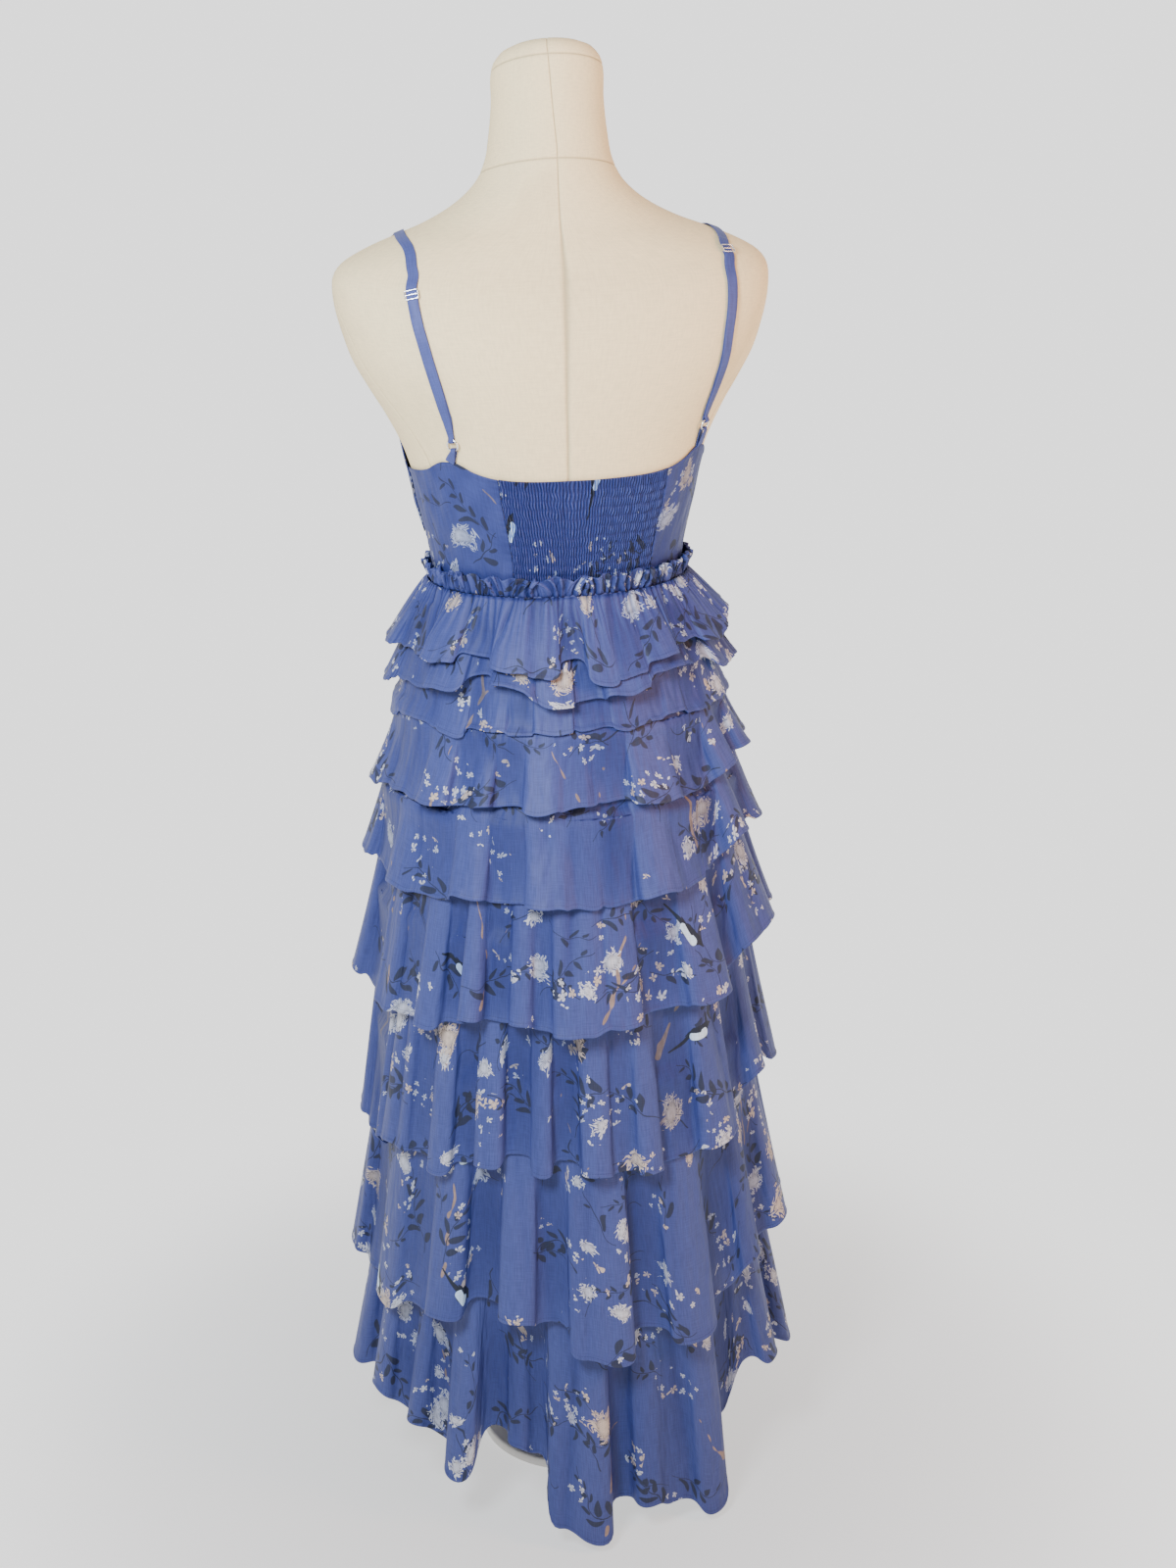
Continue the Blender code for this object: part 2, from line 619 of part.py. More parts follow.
def route_point(route, share):
    """Turn and height at a share of a route, on a smooth curve through its rows."""
    columns = ("step",) + ROUTE_COLUMNS
    rows = [(step, *row) for step, row in enumerate(route)]
    at = share * (len(route) - 1)
    return tuple(smooth_read(columns, rows, name, at) for name in ROUTE_COLUMNS)


def ring_frame(side):
    """The ring's centre, its outward normal and the way up along the strap."""
    turn, height = RING_PLACES[side]
    normal = body_normal(turn, height)
    centre = above_body(turn, height, RING_HEIGHT)
    end = STRAP_ROUTES[side][-1]
    up = above_body(end[0], end[1], RING_HEIGHT) - centre
    up = (up - normal * up.dot(normal)).normalized()
    return centre, normal, up


def make_strap(side, material):
    """One tape: from the cup over the shoulder, through the slider, round the ring and back up."""
    route = STRAP_ROUTES[side]
    slider = SLIDER_HEIGHTS[side]
    centres, normals, widths = [], [], []
    slider_share = None
    for k in range(STRAP_STEPS + 1):
        share = k / STRAP_STEPS
        turn, height = route_point(route, share)
        past = share > BACK_SHARE and height < slider + RISE_START
        if past and slider_share is None:
            slider_share = share
        rise = 0.0 if not past else min(1.0, (slider + RISE_START - height) / RISE_LENGTH)
        out = UNDER_LAYER + (OVER_LAYER - UNDER_LAYER) * rise
        centres.append(above_body(turn, height, out))
        normals.append(body_normal(turn, height))
        widths.append(TAPE_WIDTH)
    centre, normal, up = ring_frame(side)
    wire = centre + up * RING_RADIUS
    for degrees in (90, 45, 0, -45, -90):
        angle = math.radians(degrees)
        around = normal * math.sin(angle) - up * math.cos(angle)
        centres.append(wire + around * RING_TURN_RADIUS)
        normals.append(around)
        widths.append(TAPE_WIDTH_AT_RING)
    for k in range(UNDER_STEPS + 1):
        share = 1.0 - (1.0 - slider_share - UNDER_LAYER_START) * k / UNDER_STEPS
        turn, height = route_point(route, share)
        centres.append(above_body(turn, height, UNDER_LAYER))
        normals.append(-body_normal(turn, height))
        widths.append(TAPE_WIDTH)
    add_object("strap_" + side, tape_mesh("strap_" + side, centres, normals, widths), material)


def make_tab(side, material):
    """A loop of tape from the bodice's top edge, round the ring's lower side."""
    centre, normal, up = ring_frame(side)
    wire = centre - up * RING_RADIUS
    turn = TAB_TURNS[side]
    edge = back_edge(turn - DRESS_TURN) + 3 * SEAM_LIFT
    centres, normals, widths = [], [], []
    outer_foot = above_body(turn, edge, UNDER_LAYER + 1.3 * TAPE_THICKNESS + TOUCH)
    inner_foot = above_body(turn, edge, UNDER_LAYER - TOUCH)
    face = body_normal(turn, edge)
    centres += [outer_foot, outer_foot.lerp(wire + normal * RING_TURN_RADIUS, 0.5)]
    normals += [face, face]
    widths += [TAPE_WIDTH * 0.9, TAPE_WIDTH * 0.75]
    for degrees in (90, 45, 0, -45, -90):
        angle = math.radians(degrees)
        around = normal * math.sin(angle) + up * math.cos(angle)
        centres.append(wire + around * RING_TURN_RADIUS)
        normals.append(around)
        widths.append(TAPE_WIDTH_AT_RING)
    centres += [inner_foot.lerp(wire - normal * RING_TURN_RADIUS, 0.5), inner_foot]
    normals += [-face, -face]
    widths += [TAPE_WIDTH * 0.75, TAPE_WIDTH * 0.9]
    add_object("strap_tab_" + side, tape_mesh("strap_tab_" + side, centres, normals, widths), material)


def place_on_strap(thing, centre, normal, up):
    across = up.cross(normal).normalized()
    for column, axis in enumerate((across, up, normal)):
        for row in range(3):
            thing.matrix_world[row][column] = axis[row]
    matrix = thing.matrix_world.copy()
    matrix.translation = centre
    thing.matrix_world = matrix


def make_ring(side, material):
    bpy.ops.mesh.primitive_torus_add(major_radius=RING_RADIUS, minor_radius=RING_WIRE,
                                     major_segments=20, minor_segments=6)
    ring = bpy.context.object
    ring.name = "strap_ring_" + side
    ring.data.materials.append(material)
    ring.data.shade_smooth()
    place_on_strap(ring, *ring_frame(side))
    for home in list(ring.users_collection):
        home.objects.unlink(ring)
    dress_parts.objects.link(ring)


def make_slider(side, material):
    """A flat frame round the strap, resting just above its outer layer."""
    route = STRAP_ROUTES[side]
    target = SLIDER_HEIGHTS[side]
    shares = np.linspace(BACK_SHARE, 1.0, 400)
    share = min(shares, key=lambda s: abs(route_point(route, s)[1] - target))
    turn, height = route_point(route, share)
    later = route_point(route, share + 0.02)
    normal = body_normal(turn, height)
    centre = above_body(turn, height, OVER_LAYER + TAPE_THICKNESS)
    up = (centre - above_body(later[0], later[1], OVER_LAYER + TAPE_THICKNESS)).normalized()
    up = (up - normal * up.dot(normal)).normalized()
    wide, long, bar = SLIDER["half_wide"], SLIDER["half_long"], SLIDER["bar"]
    outline = ((-wide, -long), (wide, -long), (wide, long), (-wide, long))
    build = bmesh.new()
    rings = []
    for inset, level in ((0.0, 0.0), (0.0, bar), (bar, bar), (bar, 0.0)):
        ring = []
        for x, y in outline:
            inner = (x - math.copysign(inset, x), y - math.copysign(inset, y))
            ring.append(build.verts.new((inner[0], inner[1], level)))
        rings.append(ring)
    for near, far in zip(rings, rings[1:] + rings[:1]):
        for k in range(4):
            build.faces.new((near[k], near[(k + 1) % 4], far[(k + 1) % 4], far[k]))
    bmesh.ops.recalc_face_normals(build, faces=build.faces)
    mesh = bpy.data.meshes.new("strap_slider_" + side)
    build.to_mesh(mesh)
    build.free()
    slider = add_object("strap_slider_" + side, mesh, material)
    place_on_strap(slider, centre, normal, up)


clear_scene()
dress_parts = bpy.data.collections.new("tiered_midi_dress")
bpy.context.scene.collection.children.link(dress_parts)
ruffle_plans = [None] * len(TIERS)
for tier in reversed(range(len(TIERS))):
    ruffle_plans[tier] = ruffle_plan(tier, ruffle_plans[tier + 1] if tier + 1 < len(TIERS) else None)

make_form(make_material("linen", LINEN, 0.9, 0.0))
make_stand(make_material("stand_paint", STAND, 0.5, 0.0))
make_bodice(make_material("bodice_cloth", BLUE, 0.7, 0.0))
make_smocked_panel(make_material("smocked_cloth", BLUE, 0.7, 0.0))
make_heading(make_material("heading_cloth", BLUE, 0.7, 0.0))
make_skirt_base(make_material("foundation_cloth", BLUE, 0.7, 0.0))
for tier in range(len(TIERS)):
    make_ruffle(tier, ruffle_plans[tier], make_material("ruffle_cloth_%d" % (tier + 1), BLUE, 0.7, 0.0))
for strap_side in ("left", "right"):
    make_strap(strap_side, make_material("strap_tape_" + strap_side, BLUE, 0.7, 0.0))
    make_tab(strap_side, make_material("tab_tape_" + strap_side, BLUE, 0.7, 0.0))
    make_ring(strap_side, make_material("ring_steel_" + strap_side, STEEL, 0.3, 1.0))
    make_slider(strap_side, make_material("slider_steel_" + strap_side, STEEL, 0.3, 1.0))
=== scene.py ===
# Looks of the tiered ruffle midi dress on its limbless dress form.
# Metres, +Z up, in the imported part's frame. The dress's back is at +Y, the wearer's left at +X.
# A turn is an angle in degrees round the body, 0 at the back's middle, growing
# counterclockwise seen from above. Heights are from the waist.
import math
from functools import partialmethod
import bpy
import numpy as np
from mathutils import Matrix


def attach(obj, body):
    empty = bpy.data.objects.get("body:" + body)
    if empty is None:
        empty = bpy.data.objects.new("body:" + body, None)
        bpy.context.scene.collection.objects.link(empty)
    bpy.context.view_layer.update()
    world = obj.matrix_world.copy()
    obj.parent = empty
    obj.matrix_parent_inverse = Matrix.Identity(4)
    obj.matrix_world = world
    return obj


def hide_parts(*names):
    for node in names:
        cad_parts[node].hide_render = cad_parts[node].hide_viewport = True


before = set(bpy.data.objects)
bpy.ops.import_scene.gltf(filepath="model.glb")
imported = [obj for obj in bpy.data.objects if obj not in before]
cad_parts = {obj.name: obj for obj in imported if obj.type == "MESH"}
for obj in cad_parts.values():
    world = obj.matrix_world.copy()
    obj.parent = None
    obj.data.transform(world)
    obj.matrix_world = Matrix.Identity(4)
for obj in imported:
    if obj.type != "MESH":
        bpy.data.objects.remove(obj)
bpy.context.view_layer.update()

# What a user would change is in one dictionary for each piece, beside its code. These are for all of them.
dress = {
    "waistZ": 0.973, "cloth": 0.001, "bodyGap": 0.0009, "cadCloth": 0.0012, "seatGap": 0.0004,
    "turn": 6.5, "sideSeam": 97.0, "smockHalf": 33.0, "midriffHeight": 0.0445, "seamLift": 0.0004, "seamGap": 0.1,
}

# The form's sections: height, half width, depth back, depth front, squareness, shift, tilt.
formRows = (
    (-0.25, 0.15, 0.112, 0.1, 2.2, 0, 0), (-0.2, 0.156, 0.116, 0.103, 2.2, 0, 0),
    (-0.12, 0.146, 0.108, 0.098, 2.2, 0, 0), (-0.06, 0.13, 0.096, 0.092, 2.1, 0, 0),
    (-0.02, 0.1205, 0.089, 0.0885, 2.05, 0, 0), (0, 0.119, 0.088, 0.088, 2, 0, 0),
    (0.03, 0.1215, 0.089, 0.093, 2, 0, 0), (0.07, 0.13, 0.093, 0.104, 2.1, 0, 0),
    (0.1, 0.136, 0.096, 0.112, 2.2, 0, 0), (0.13, 0.1455, 0.099, 0.116, 2.2, 0, 0),
    (0.16, 0.16, 0.102, 0.115, 2.2, 0, 0), (0.185, 0.1745, 0.104, 0.111, 2.25, 0, 0),
    (0.21, 0.188, 0.1045, 0.104, 2.3, 0, 0), (0.235, 0.1965, 0.102, 0.095, 2.35, 0, 0),
    (0.26, 0.2025, 0.096, 0.086, 2.4, -0.001, 0), (0.278, 0.204, 0.089, 0.079, 2.4, -0.002, 0),
    (0.298, 0.195, 0.078, 0.07, 2.3, -0.003, 0), (0.312, 0.17, 0.0715, 0.065, 2.2, -0.004, 0),
    (0.322, 0.1445, 0.067, 0.061, 2.1, -0.005, 0), (0.331, 0.1205, 0.063, 0.058, 2, -0.006, 0),
    (0.345, 0.093, 0.059, 0.0545, 2, -0.007, 0), (0.364, 0.07, 0.056, 0.0525, 2, -0.008, 0),
    (0.384, 0.059, 0.054, 0.0515, 2, -0.009, 0), (0.405, 0.0548, 0.0525, 0.051, 2, -0.01, 0.03),
    (0.436, 0.0514, 0.0505, 0.05, 2, -0.01, 0.18), (0.465, 0.0503, 0.05, 0.05, 2, -0.01, 0.35),
    (0.473, 0.0465, 0.0465, 0.0465, 2, -0.01, 0.35), (0.48, 0.037, 0.037, 0.037, 2, -0.01, 0.35),
    (0.484, 0.02, 0.02, 0.02, 2, -0.01, 0.35),
)
bust = {"turn": 36.0, "height": 0.125, "spreadDeg": 25.0, "spreadHeight": 0.05, "fullness": 0.02}

# The foundation skirt's half width by height, and the skirt's depth over its width by height.
seatRows = ((-0.66, 0.19), (-0.47, 0.1842), (-0.32, 0.1762), (-0.2, 0.1642), (-0.12, 0.1512),
            (-0.07, 0.1382), (-0.045, 0.1317), (-0.02, 0.1258), (0.0, 0.1213))
roundRows = ((-0.97, 1.0), (-0.75, 1.0), (-0.55, 0.98), (-0.4, 0.96), (-0.27, 0.93),
             (-0.19, 0.9), (-0.1, 0.86), (-0.05, 0.82), (0.0, 0.765), (0.05, 0.76))


def smoothRead(rows, column, at):
    # A smooth curve through a table: cubic pieces whose slope at a row is the mean of its two steps, level at a peak.
    table = np.array(rows, float)
    keys, values = table[:, 0], table[:, column]
    steps = np.diff(values) / np.diff(keys)
    slopes = np.concatenate((steps[:1], (steps[1:] + steps[:-1]) / 2, steps[-1:]))
    slopes[1:-1][steps[1:] * steps[:-1] <= 0] = 0.0
    at = np.clip(np.asarray(at, float), keys[0], keys[-1])
    cell = np.clip(np.searchsorted(keys, at) - 1, 0, len(keys) - 2)
    width = keys[cell + 1] - keys[cell]
    t = (at - keys[cell]) / width
    return (values[cell] * (1 + 2 * t) * (1 - t) ** 2 + width * slopes[cell] * t * (1 - t) ** 2
            + values[cell + 1] * t * t * (3 - 2 * t) + width * slopes[cell + 1] * t * t * (t - 1))


def turnApart(turn, middle):
    return (turn - middle + 180.0) % 360.0 - 180.0


def bustFullness(turn, height):
    rise = np.exp(-((height - bust["height"]) / bust["spreadHeight"]) ** 2)
    swell = sum(np.exp(-(turnApart(turn, 180.0 + side * bust["turn"]) / bust["spreadDeg"]) ** 2) for side in (-1, 1))
    return bust["fullness"] * rise * swell


def bodyPoint(turn, height, out=0.0):
    # Rounded oval: x and y are the half width and depth times sine and cosine to the power 2 / squareness.
    turn, height, out = np.broadcast_arrays(np.asarray(turn, float), np.asarray(height, float), np.asarray(out, float))
    halfWidth, back, front, square, shift, tilt = (smoothRead(formRows, k, height) for k in range(1, 7))
    sine, cosine = np.sin(np.radians(turn)), np.cos(np.radians(turn))
    grow = out + bustFullness(turn, height)
    x = -np.sign(sine) * np.abs(sine) ** (2 / square) * (halfWidth + grow)
    y = np.sign(cosine) * np.abs(cosine) ** (2 / square) * (np.where(cosine > 0, back, front) + grow)
    return np.stack((x, y + shift, dress["waistZ"] + height + tilt * y), -1)


def unit(v):
    return v / np.maximum(np.linalg.norm(v, axis=-1, keepdims=True), 1e-12)


def bodyNormal(turn, height):
    turn, height = np.asarray(turn, float), np.asarray(height, float)
    along = bodyPoint(turn + 0.5, height) - bodyPoint(turn - 0.5, height)
    up = bodyPoint(turn, height + 0.002) - bodyPoint(turn, height - 0.002)
    return unit(np.cross(along, up))


def aboveBody(turn, height, out):
    return bodyPoint(turn, height) + bodyNormal(turn, height) * np.asarray(out, float)[..., None]


def skirtPoint(turn, height, halfWidth):
    depth = halfWidth * smoothRead(roundRows, 1, height)
    angle = np.radians(turn)
    return np.stack((-halfWidth * np.sin(angle), depth * np.cos(angle), dress["waistZ"] + height + 0 * turn), -1)


def waves(chance, share, low, high, terms, across=None, acrossHigh=0.0):
    # A sum of sines with whole numbers of waves round, about 1 at its peaks; across adds slow change the other way.
    total = 0.0
    for _ in range(terms):
        count, phase = chance.integers(low, high + 1), chance.uniform(0, 2 * math.pi)
        slant = chance.uniform(-acrossHigh, acrossHigh)
        total = total + np.sin(2 * math.pi * (count * share + (0 if across is None else slant * across)) + phase)
    return total / math.sqrt(terms)


def pleats(chance, share, count, wander, across=None, acrossHigh=0.0):
    # Round tops with sharp valleys between them, from 0 to 1, about count of them round, unevenly wide.
    drift = wander * waves(chance, share, max(2, count // 8), max(3, count // 3), 6, across, acrossHigh)
    return np.abs(np.sin(math.pi * count * share + drift)) ** 0.75


def makeMesh(name, points, faces, material, uvs=None):
    # points (n, 3), faces (m, 4) of point numbers, uvs (m, 4, 2) in metres of cloth.
    mesh = bpy.data.meshes.new(name)
    faces = np.asarray(faces, np.int32)
    mesh.vertices.add(len(points))
    mesh.vertices.foreach_set("co", np.ascontiguousarray(points, np.float32).ravel())
    mesh.loops.add(faces.size)
    mesh.loops.foreach_set("vertex_index", faces.ravel())
    mesh.polygons.add(len(faces))
    mesh.polygons.foreach_set("loop_start", np.arange(0, faces.size, 4, dtype=np.int32))
    if uvs is None:
        uvs = np.zeros((len(faces), 4, 2))
    mesh.uv_layers.new(name="cloth").data.foreach_set("uv", np.ascontiguousarray(uvs, np.float32).ravel())
    mesh.update(calc_edges=True)
    mesh.validate()
    mesh.shade_smooth()
    mesh.materials.append(material)
    thing = bpy.data.objects.new(name, mesh)
    bpy.context.scene.collection.objects.link(thing)
    return thing


def gridFaces(rows, columns, closed=True):
    # Each cell's four point numbers on a grid that is stored row by row, then its row and its column.
    i, j = np.meshgrid(np.arange(rows - 1), np.arange(columns if closed else columns - 1), indexing="ij")
    i, j = i.ravel(), j.ravel()
    nextJ = (j + 1) % columns
    return np.stack((i * columns + j, i * columns + nextJ, (i + 1) * columns + nextJ, (i + 1) * columns + j), 1), i, j


def cellUv(uv, i, j):
    return np.stack((uv[i, j], uv[i, j + 1], uv[i + 1, j + 1], uv[i + 1, j]), 1)


def gridNormals(points, closed):
    if closed:
        along = np.roll(points, -1, 1) - np.roll(points, 1, 1)
    else:
        along = np.gradient(points, axis=1)
    return unit(np.cross(along, np.gradient(points, axis=0)))


def shell(name, outer, thickness, closed, uv, material, inner=None):
    # A closed thin wall: an outer grid (rows upward, columns counterclockwise), its inner side, and rims on free edges.
    rows, columns = outer.shape[:2]
    if inner is None:
        inner = outer - gridNormals(outer, closed) * np.broadcast_to(thickness, outer.shape[:2])[..., None]
    points = np.concatenate((outer.reshape(-1, 3), inner.reshape(-1, 3)))
    start = rows * columns
    quads, i, j = gridFaces(rows, columns, closed)
    corners = cellUv(uv, i, j)
    faces, texture = [quads, quads[:, ::-1] + start], [corners, corners[:, ::-1]]
    i, j = np.arange(rows - 1), np.arange(columns if closed else columns - 1)
    edges = [(row * columns + j, row * columns + (j + 1) % columns, uv[row, j], uv[row, j + 1], row == 0)
             for row in (0, rows - 1)]
    if not closed:
        edges += [(i * columns + column, (i + 1) * columns + column, uv[i, column], uv[i + 1, column], column > 0)
                  for column in (0, columns - 1)]
    for near, far, nearUv, farUv, flip in edges:
        rim, edge = np.stack((near, far, far + start, near + start), 1), np.stack((nearUv, farUv, farUv, nearUv), 1)
        faces.append(rim[:, ::-1] if flip else rim)
        texture.append(edge[:, ::-1] if flip else edge)
    return makeMesh(name, points, np.concatenate(faces), material, np.concatenate(texture))


def addShade(thing, shown):
    # How much light reaches each point between folds too narrow to render well, the same on both sides of a shell.
    values = np.ones(len(thing.data.vertices), np.float32)
    values[:shown.size] = shown.ravel()
    if len(values) == 2 * shown.size:
        values[shown.size:] = shown.ravel()
    thing.data.attributes.new("shade", "FLOAT", "POINT").data.foreach_set("value", values)


def clothUv(points, closed, along=None):
    # Cloth metres: length along one row, and length up each column from the bottom.
    row = points[along if along is not None else points.shape[0] // 2]
    if closed:
        row = np.concatenate((row, row[:1]))
        points = np.concatenate((points, points[:, :1]), 1)
    u = np.concatenate(([0.0], np.cumsum(np.linalg.norm(np.diff(row, axis=0), axis=-1))))
    rise = np.linalg.norm(np.diff(points, axis=0), axis=-1)
    v = np.concatenate((np.zeros((1, points.shape[1])), np.cumsum(rise, 0)))
    return np.stack((np.broadcast_to(u, v.shape), v), -1)


def tube(name, path, radius, sides, material, normal, closed=True):
    # A round wire along a path; the normal says which way its first side faces.
    path = np.asarray(path, float)
    along = unit(np.roll(path, -1, 0) - np.roll(path, 1, 0) if closed else np.gradient(path, axis=0))
    normal = unit(np.broadcast_to(normal, path.shape))
    side = unit(np.cross(along, normal))
    angle = (np.arange(sides) * 2 * math.pi / sides)[None, :, None]
    points = path[:, None] + radius * (np.cos(angle) * side[:, None] + np.sin(angle) * normal[:, None])
    faces = gridFaces(len(path) + closed, sides)[0] % (len(path) * sides)
    return makeMesh(name, points.reshape(-1, 3), faces, material)


class Sketch:
    # Short ways to add nodes to a tree.
    def __init__(self, tree):
        self.tree = tree

    def put(self, socket, value):
        if isinstance(value, bpy.types.NodeSocket):
            self.tree.links.new(value, socket)
        else:
            socket.default_value = (*value, 1.0) if socket.type == "RGBA" else value

    def node(self, kind, values=(), **settings):
        # Fills a new node's inputs by label, or in order, and gives its outputs.
        made = self.tree.nodes.new("ShaderNode" + kind)
        for name, value in settings.items():
            setattr(made, name, value)
        for label, value in values.items() if isinstance(values, dict) else enumerate(values):
            if value is not None:
                self.put(made.inputs[label], value)
        return made.outputs

    def math(self, operation, first, second=None, third=None, clamp=False):
        return self.node("Math", (first, second, third), operation=operation, use_clamp=clamp)[0]

    def vector(self, operation, first, second=None, scale=None):
        made = self.node("VectorMath", {0: first, 1: second, "Scale": scale}, operation=operation)
        return made["Value" if operation in ("DOT_PRODUCT", "LENGTH") else "Vector"]

    def split(self, vector):
        return tuple(self.node("SeparateXYZ", (vector,)))

    def join(self, x, y, z=0.0):
        return self.node("CombineXYZ", (x, y, z))[0]

    def noise(self, vector, scale, detail=2.0, roughness=0.5, solid=False):
        values = {"Vector": vector, "Scale": scale, "Detail": detail, "Roughness": roughness}
        return self.node("TexNoise", values, noise_dimensions="3D" if solid else "2D")[0]

    def chance(self, vector):
        return self.node("TexWhiteNoise", {"Vector": vector})["Value"]

    def smooth(self, value, low, high, toLow=0.0, toHigh=1.0):
        return self.node("MapRange", (value, low, high, toLow, toHigh), interpolation_type="SMOOTHSTEP")[0]

    def blend(self, share, first, second, kind="MIX"):
        return self.node("Mix", {0: share, 6: first, 7: second}, data_type="RGBA", blend_type=kind)[2]

    def bump(self, height, distance, strength=1.0):
        return self.node("Bump", {"Strength": strength, "Distance": distance, "Height": height})[0]

    def tinted(self, colour, tint):
        return self.blend(1.0, colour, self.join(tint, tint, tint), "MULTIPLY")

    def shader(self, surface, colour, roughness, **others):
        values = {"Base Color": colour, "Roughness": roughness, **others}
        self.put(surface, self.node("BsdfPrincipled", values)[0])

    def group(self, tree, **values):
        return self.node("Group", values, node_tree=tree)


mathWords = {
    "times": "MULTIPLY", "plus": "ADD", "minus": "SUBTRACT", "over": "DIVIDE", "timesPlus": "MULTIPLY_ADD",
    "absolute": "ABSOLUTE", "power": "POWER", "larger": "MAXIMUM", "below": "LESS_THAN", "above": "GREATER_THAN",
    "floor": "FLOOR", "fraction": "FRACT", "sine": "SINE", "cosine": "COSINE", "angleOf": "ARCTAN2", "sign": "SIGN",
}
for word, operation in mathWords.items():
    setattr(Sketch, word, partialmethod(Sketch.math, operation))


def newGroup(name, inputs, outputs):
    # Sockets by name: the print's points are vectors, "colour" is a colour, and the rest are numbers.
    kinds = dict.fromkeys(("cloth", "local", "point", "start", "end"), "Vector") | {"colour": "Color"}
    tree = bpy.data.node_groups.new(name, "ShaderNodeTree")
    for direction, words in (("INPUT", inputs), ("OUTPUT", outputs)):
        for word in words.split():
            tree.interface.new_socket(word, in_out=direction, socket_type="NodeSocket" + kinds.get(word, "Float"))
    s = Sketch(tree)
    return s, tree.nodes.new("NodeGroupInput").outputs, tree.nodes.new("NodeGroupOutput").inputs, tree


def makeScatter():
    # Loosely spaced middles from a cell texture: each gives the point measured from its own turned middle, two lots,
    # and how crowded the print is there.
    s, given, result, tree = newGroup("scatter", "cloth cell jitter seed swing", "local pick size crowd")
    aside = s.join(given["seed"], given["seed"])
    moved = s.vector("ADD", given["cloth"], aside)
    cells = s.node("TexVoronoi", {"Vector": moved, "Scale": s.over(1.0, given["cell"]), "Randomness": given["jitter"]},
                   voronoi_dimensions="2D", feature="F1")
    pick, size, spin = s.split(cells["Color"])
    fromMiddle = s.vector("SUBTRACT", moved, cells["Position"])
    turned = s.node("VectorRotate", {"Vector": fromMiddle, "Angle": s.times(s.minus(spin, 0.5), given["swing"])},
                    rotation_type="Z_AXIS")[0]
    crowd = s.noise(s.vector("SUBTRACT", cells["Position"], aside), 7.0, 0.0)
    for label, value in (("local", turned), ("pick", pick), ("size", size), ("crowd", crowd)):
        s.put(result[label], value)
    return tree


def makeStroke():
    # A painted stroke: 1 inside a line whose half width changes from its start to its end.
    s, given, result, tree = newGroup("stroke", "point start end startHalf endHalf", "mask")
    fromStart = s.vector("SUBTRACT", given["point"], given["start"])
    whole = s.vector("SUBTRACT", given["end"], given["start"])
    share = s.over(s.vector("DOT_PRODUCT", fromStart, whole), s.vector("DOT_PRODUCT", whole, whole), clamp=True)
    away = s.vector("LENGTH", s.vector("SUBTRACT", fromStart, s.vector("SCALE", whole, scale=share)))
    half = s.timesPlus(share, s.minus(given["endHalf"], given["startHalf"]), given["startHalf"])
    s.put(result["mask"], s.smooth(s.minus(half, away), -0.0002, 0.0003))
    return tree


def makeBlossom():
    # A many-petalled flower: its edge is a radius times a wave in the angle that starts from a core, with a second
    # ring of petals inside.
    s, given, result, tree = newGroup("blossom", "local radius petals ragged core seed", "mask shade")
    x, y, _ = s.split(given["local"])
    uneven = s.minus(s.noise(given["local"], 190.0, 0.0), 0.5)
    angle = s.timesPlus(uneven, given["ragged"], s.angleOf(y, x))
    half = s.times(s.times(angle, given["petals"]), 0.5)
    lot = s.chance(s.join(s.floor(s.plus(s.over(half, math.pi), 0.5)), given["seed"]))
    away = s.over(s.vector("LENGTH", given["local"]), given["radius"])
    petal = s.absolute(s.cosine(half))
    reach = s.timesPlus(lot, 0.42, s.minus(0.72, given["core"]))
    edge = s.timesPlus(s.power(petal, 0.7), reach, given["core"])
    edge = s.timesPlus(uneven, 0.35, edge)
    s.put(result["mask"], s.smooth(s.minus(edge, away), 0.0, 0.05))
    inner = s.timesPlus(s.power(s.absolute(s.sine(half)), 0.6), 0.26, 0.30)
    ringLine = s.smooth(s.absolute(s.minus(inner, away)), 0.0, 0.10)
    creases = s.larger(s.smooth(petal, 0.0, 0.5), s.smooth(away, 0.5, 0.25))
    shade = s.times(s.timesPlus(ringLine, 0.55, 0.45), s.timesPlus(creases, 0.55, 0.45))
    s.put(result["shade"], s.times(shade, s.smooth(away, -0.05, 0.22, 0.72, 1.0)))
    return tree


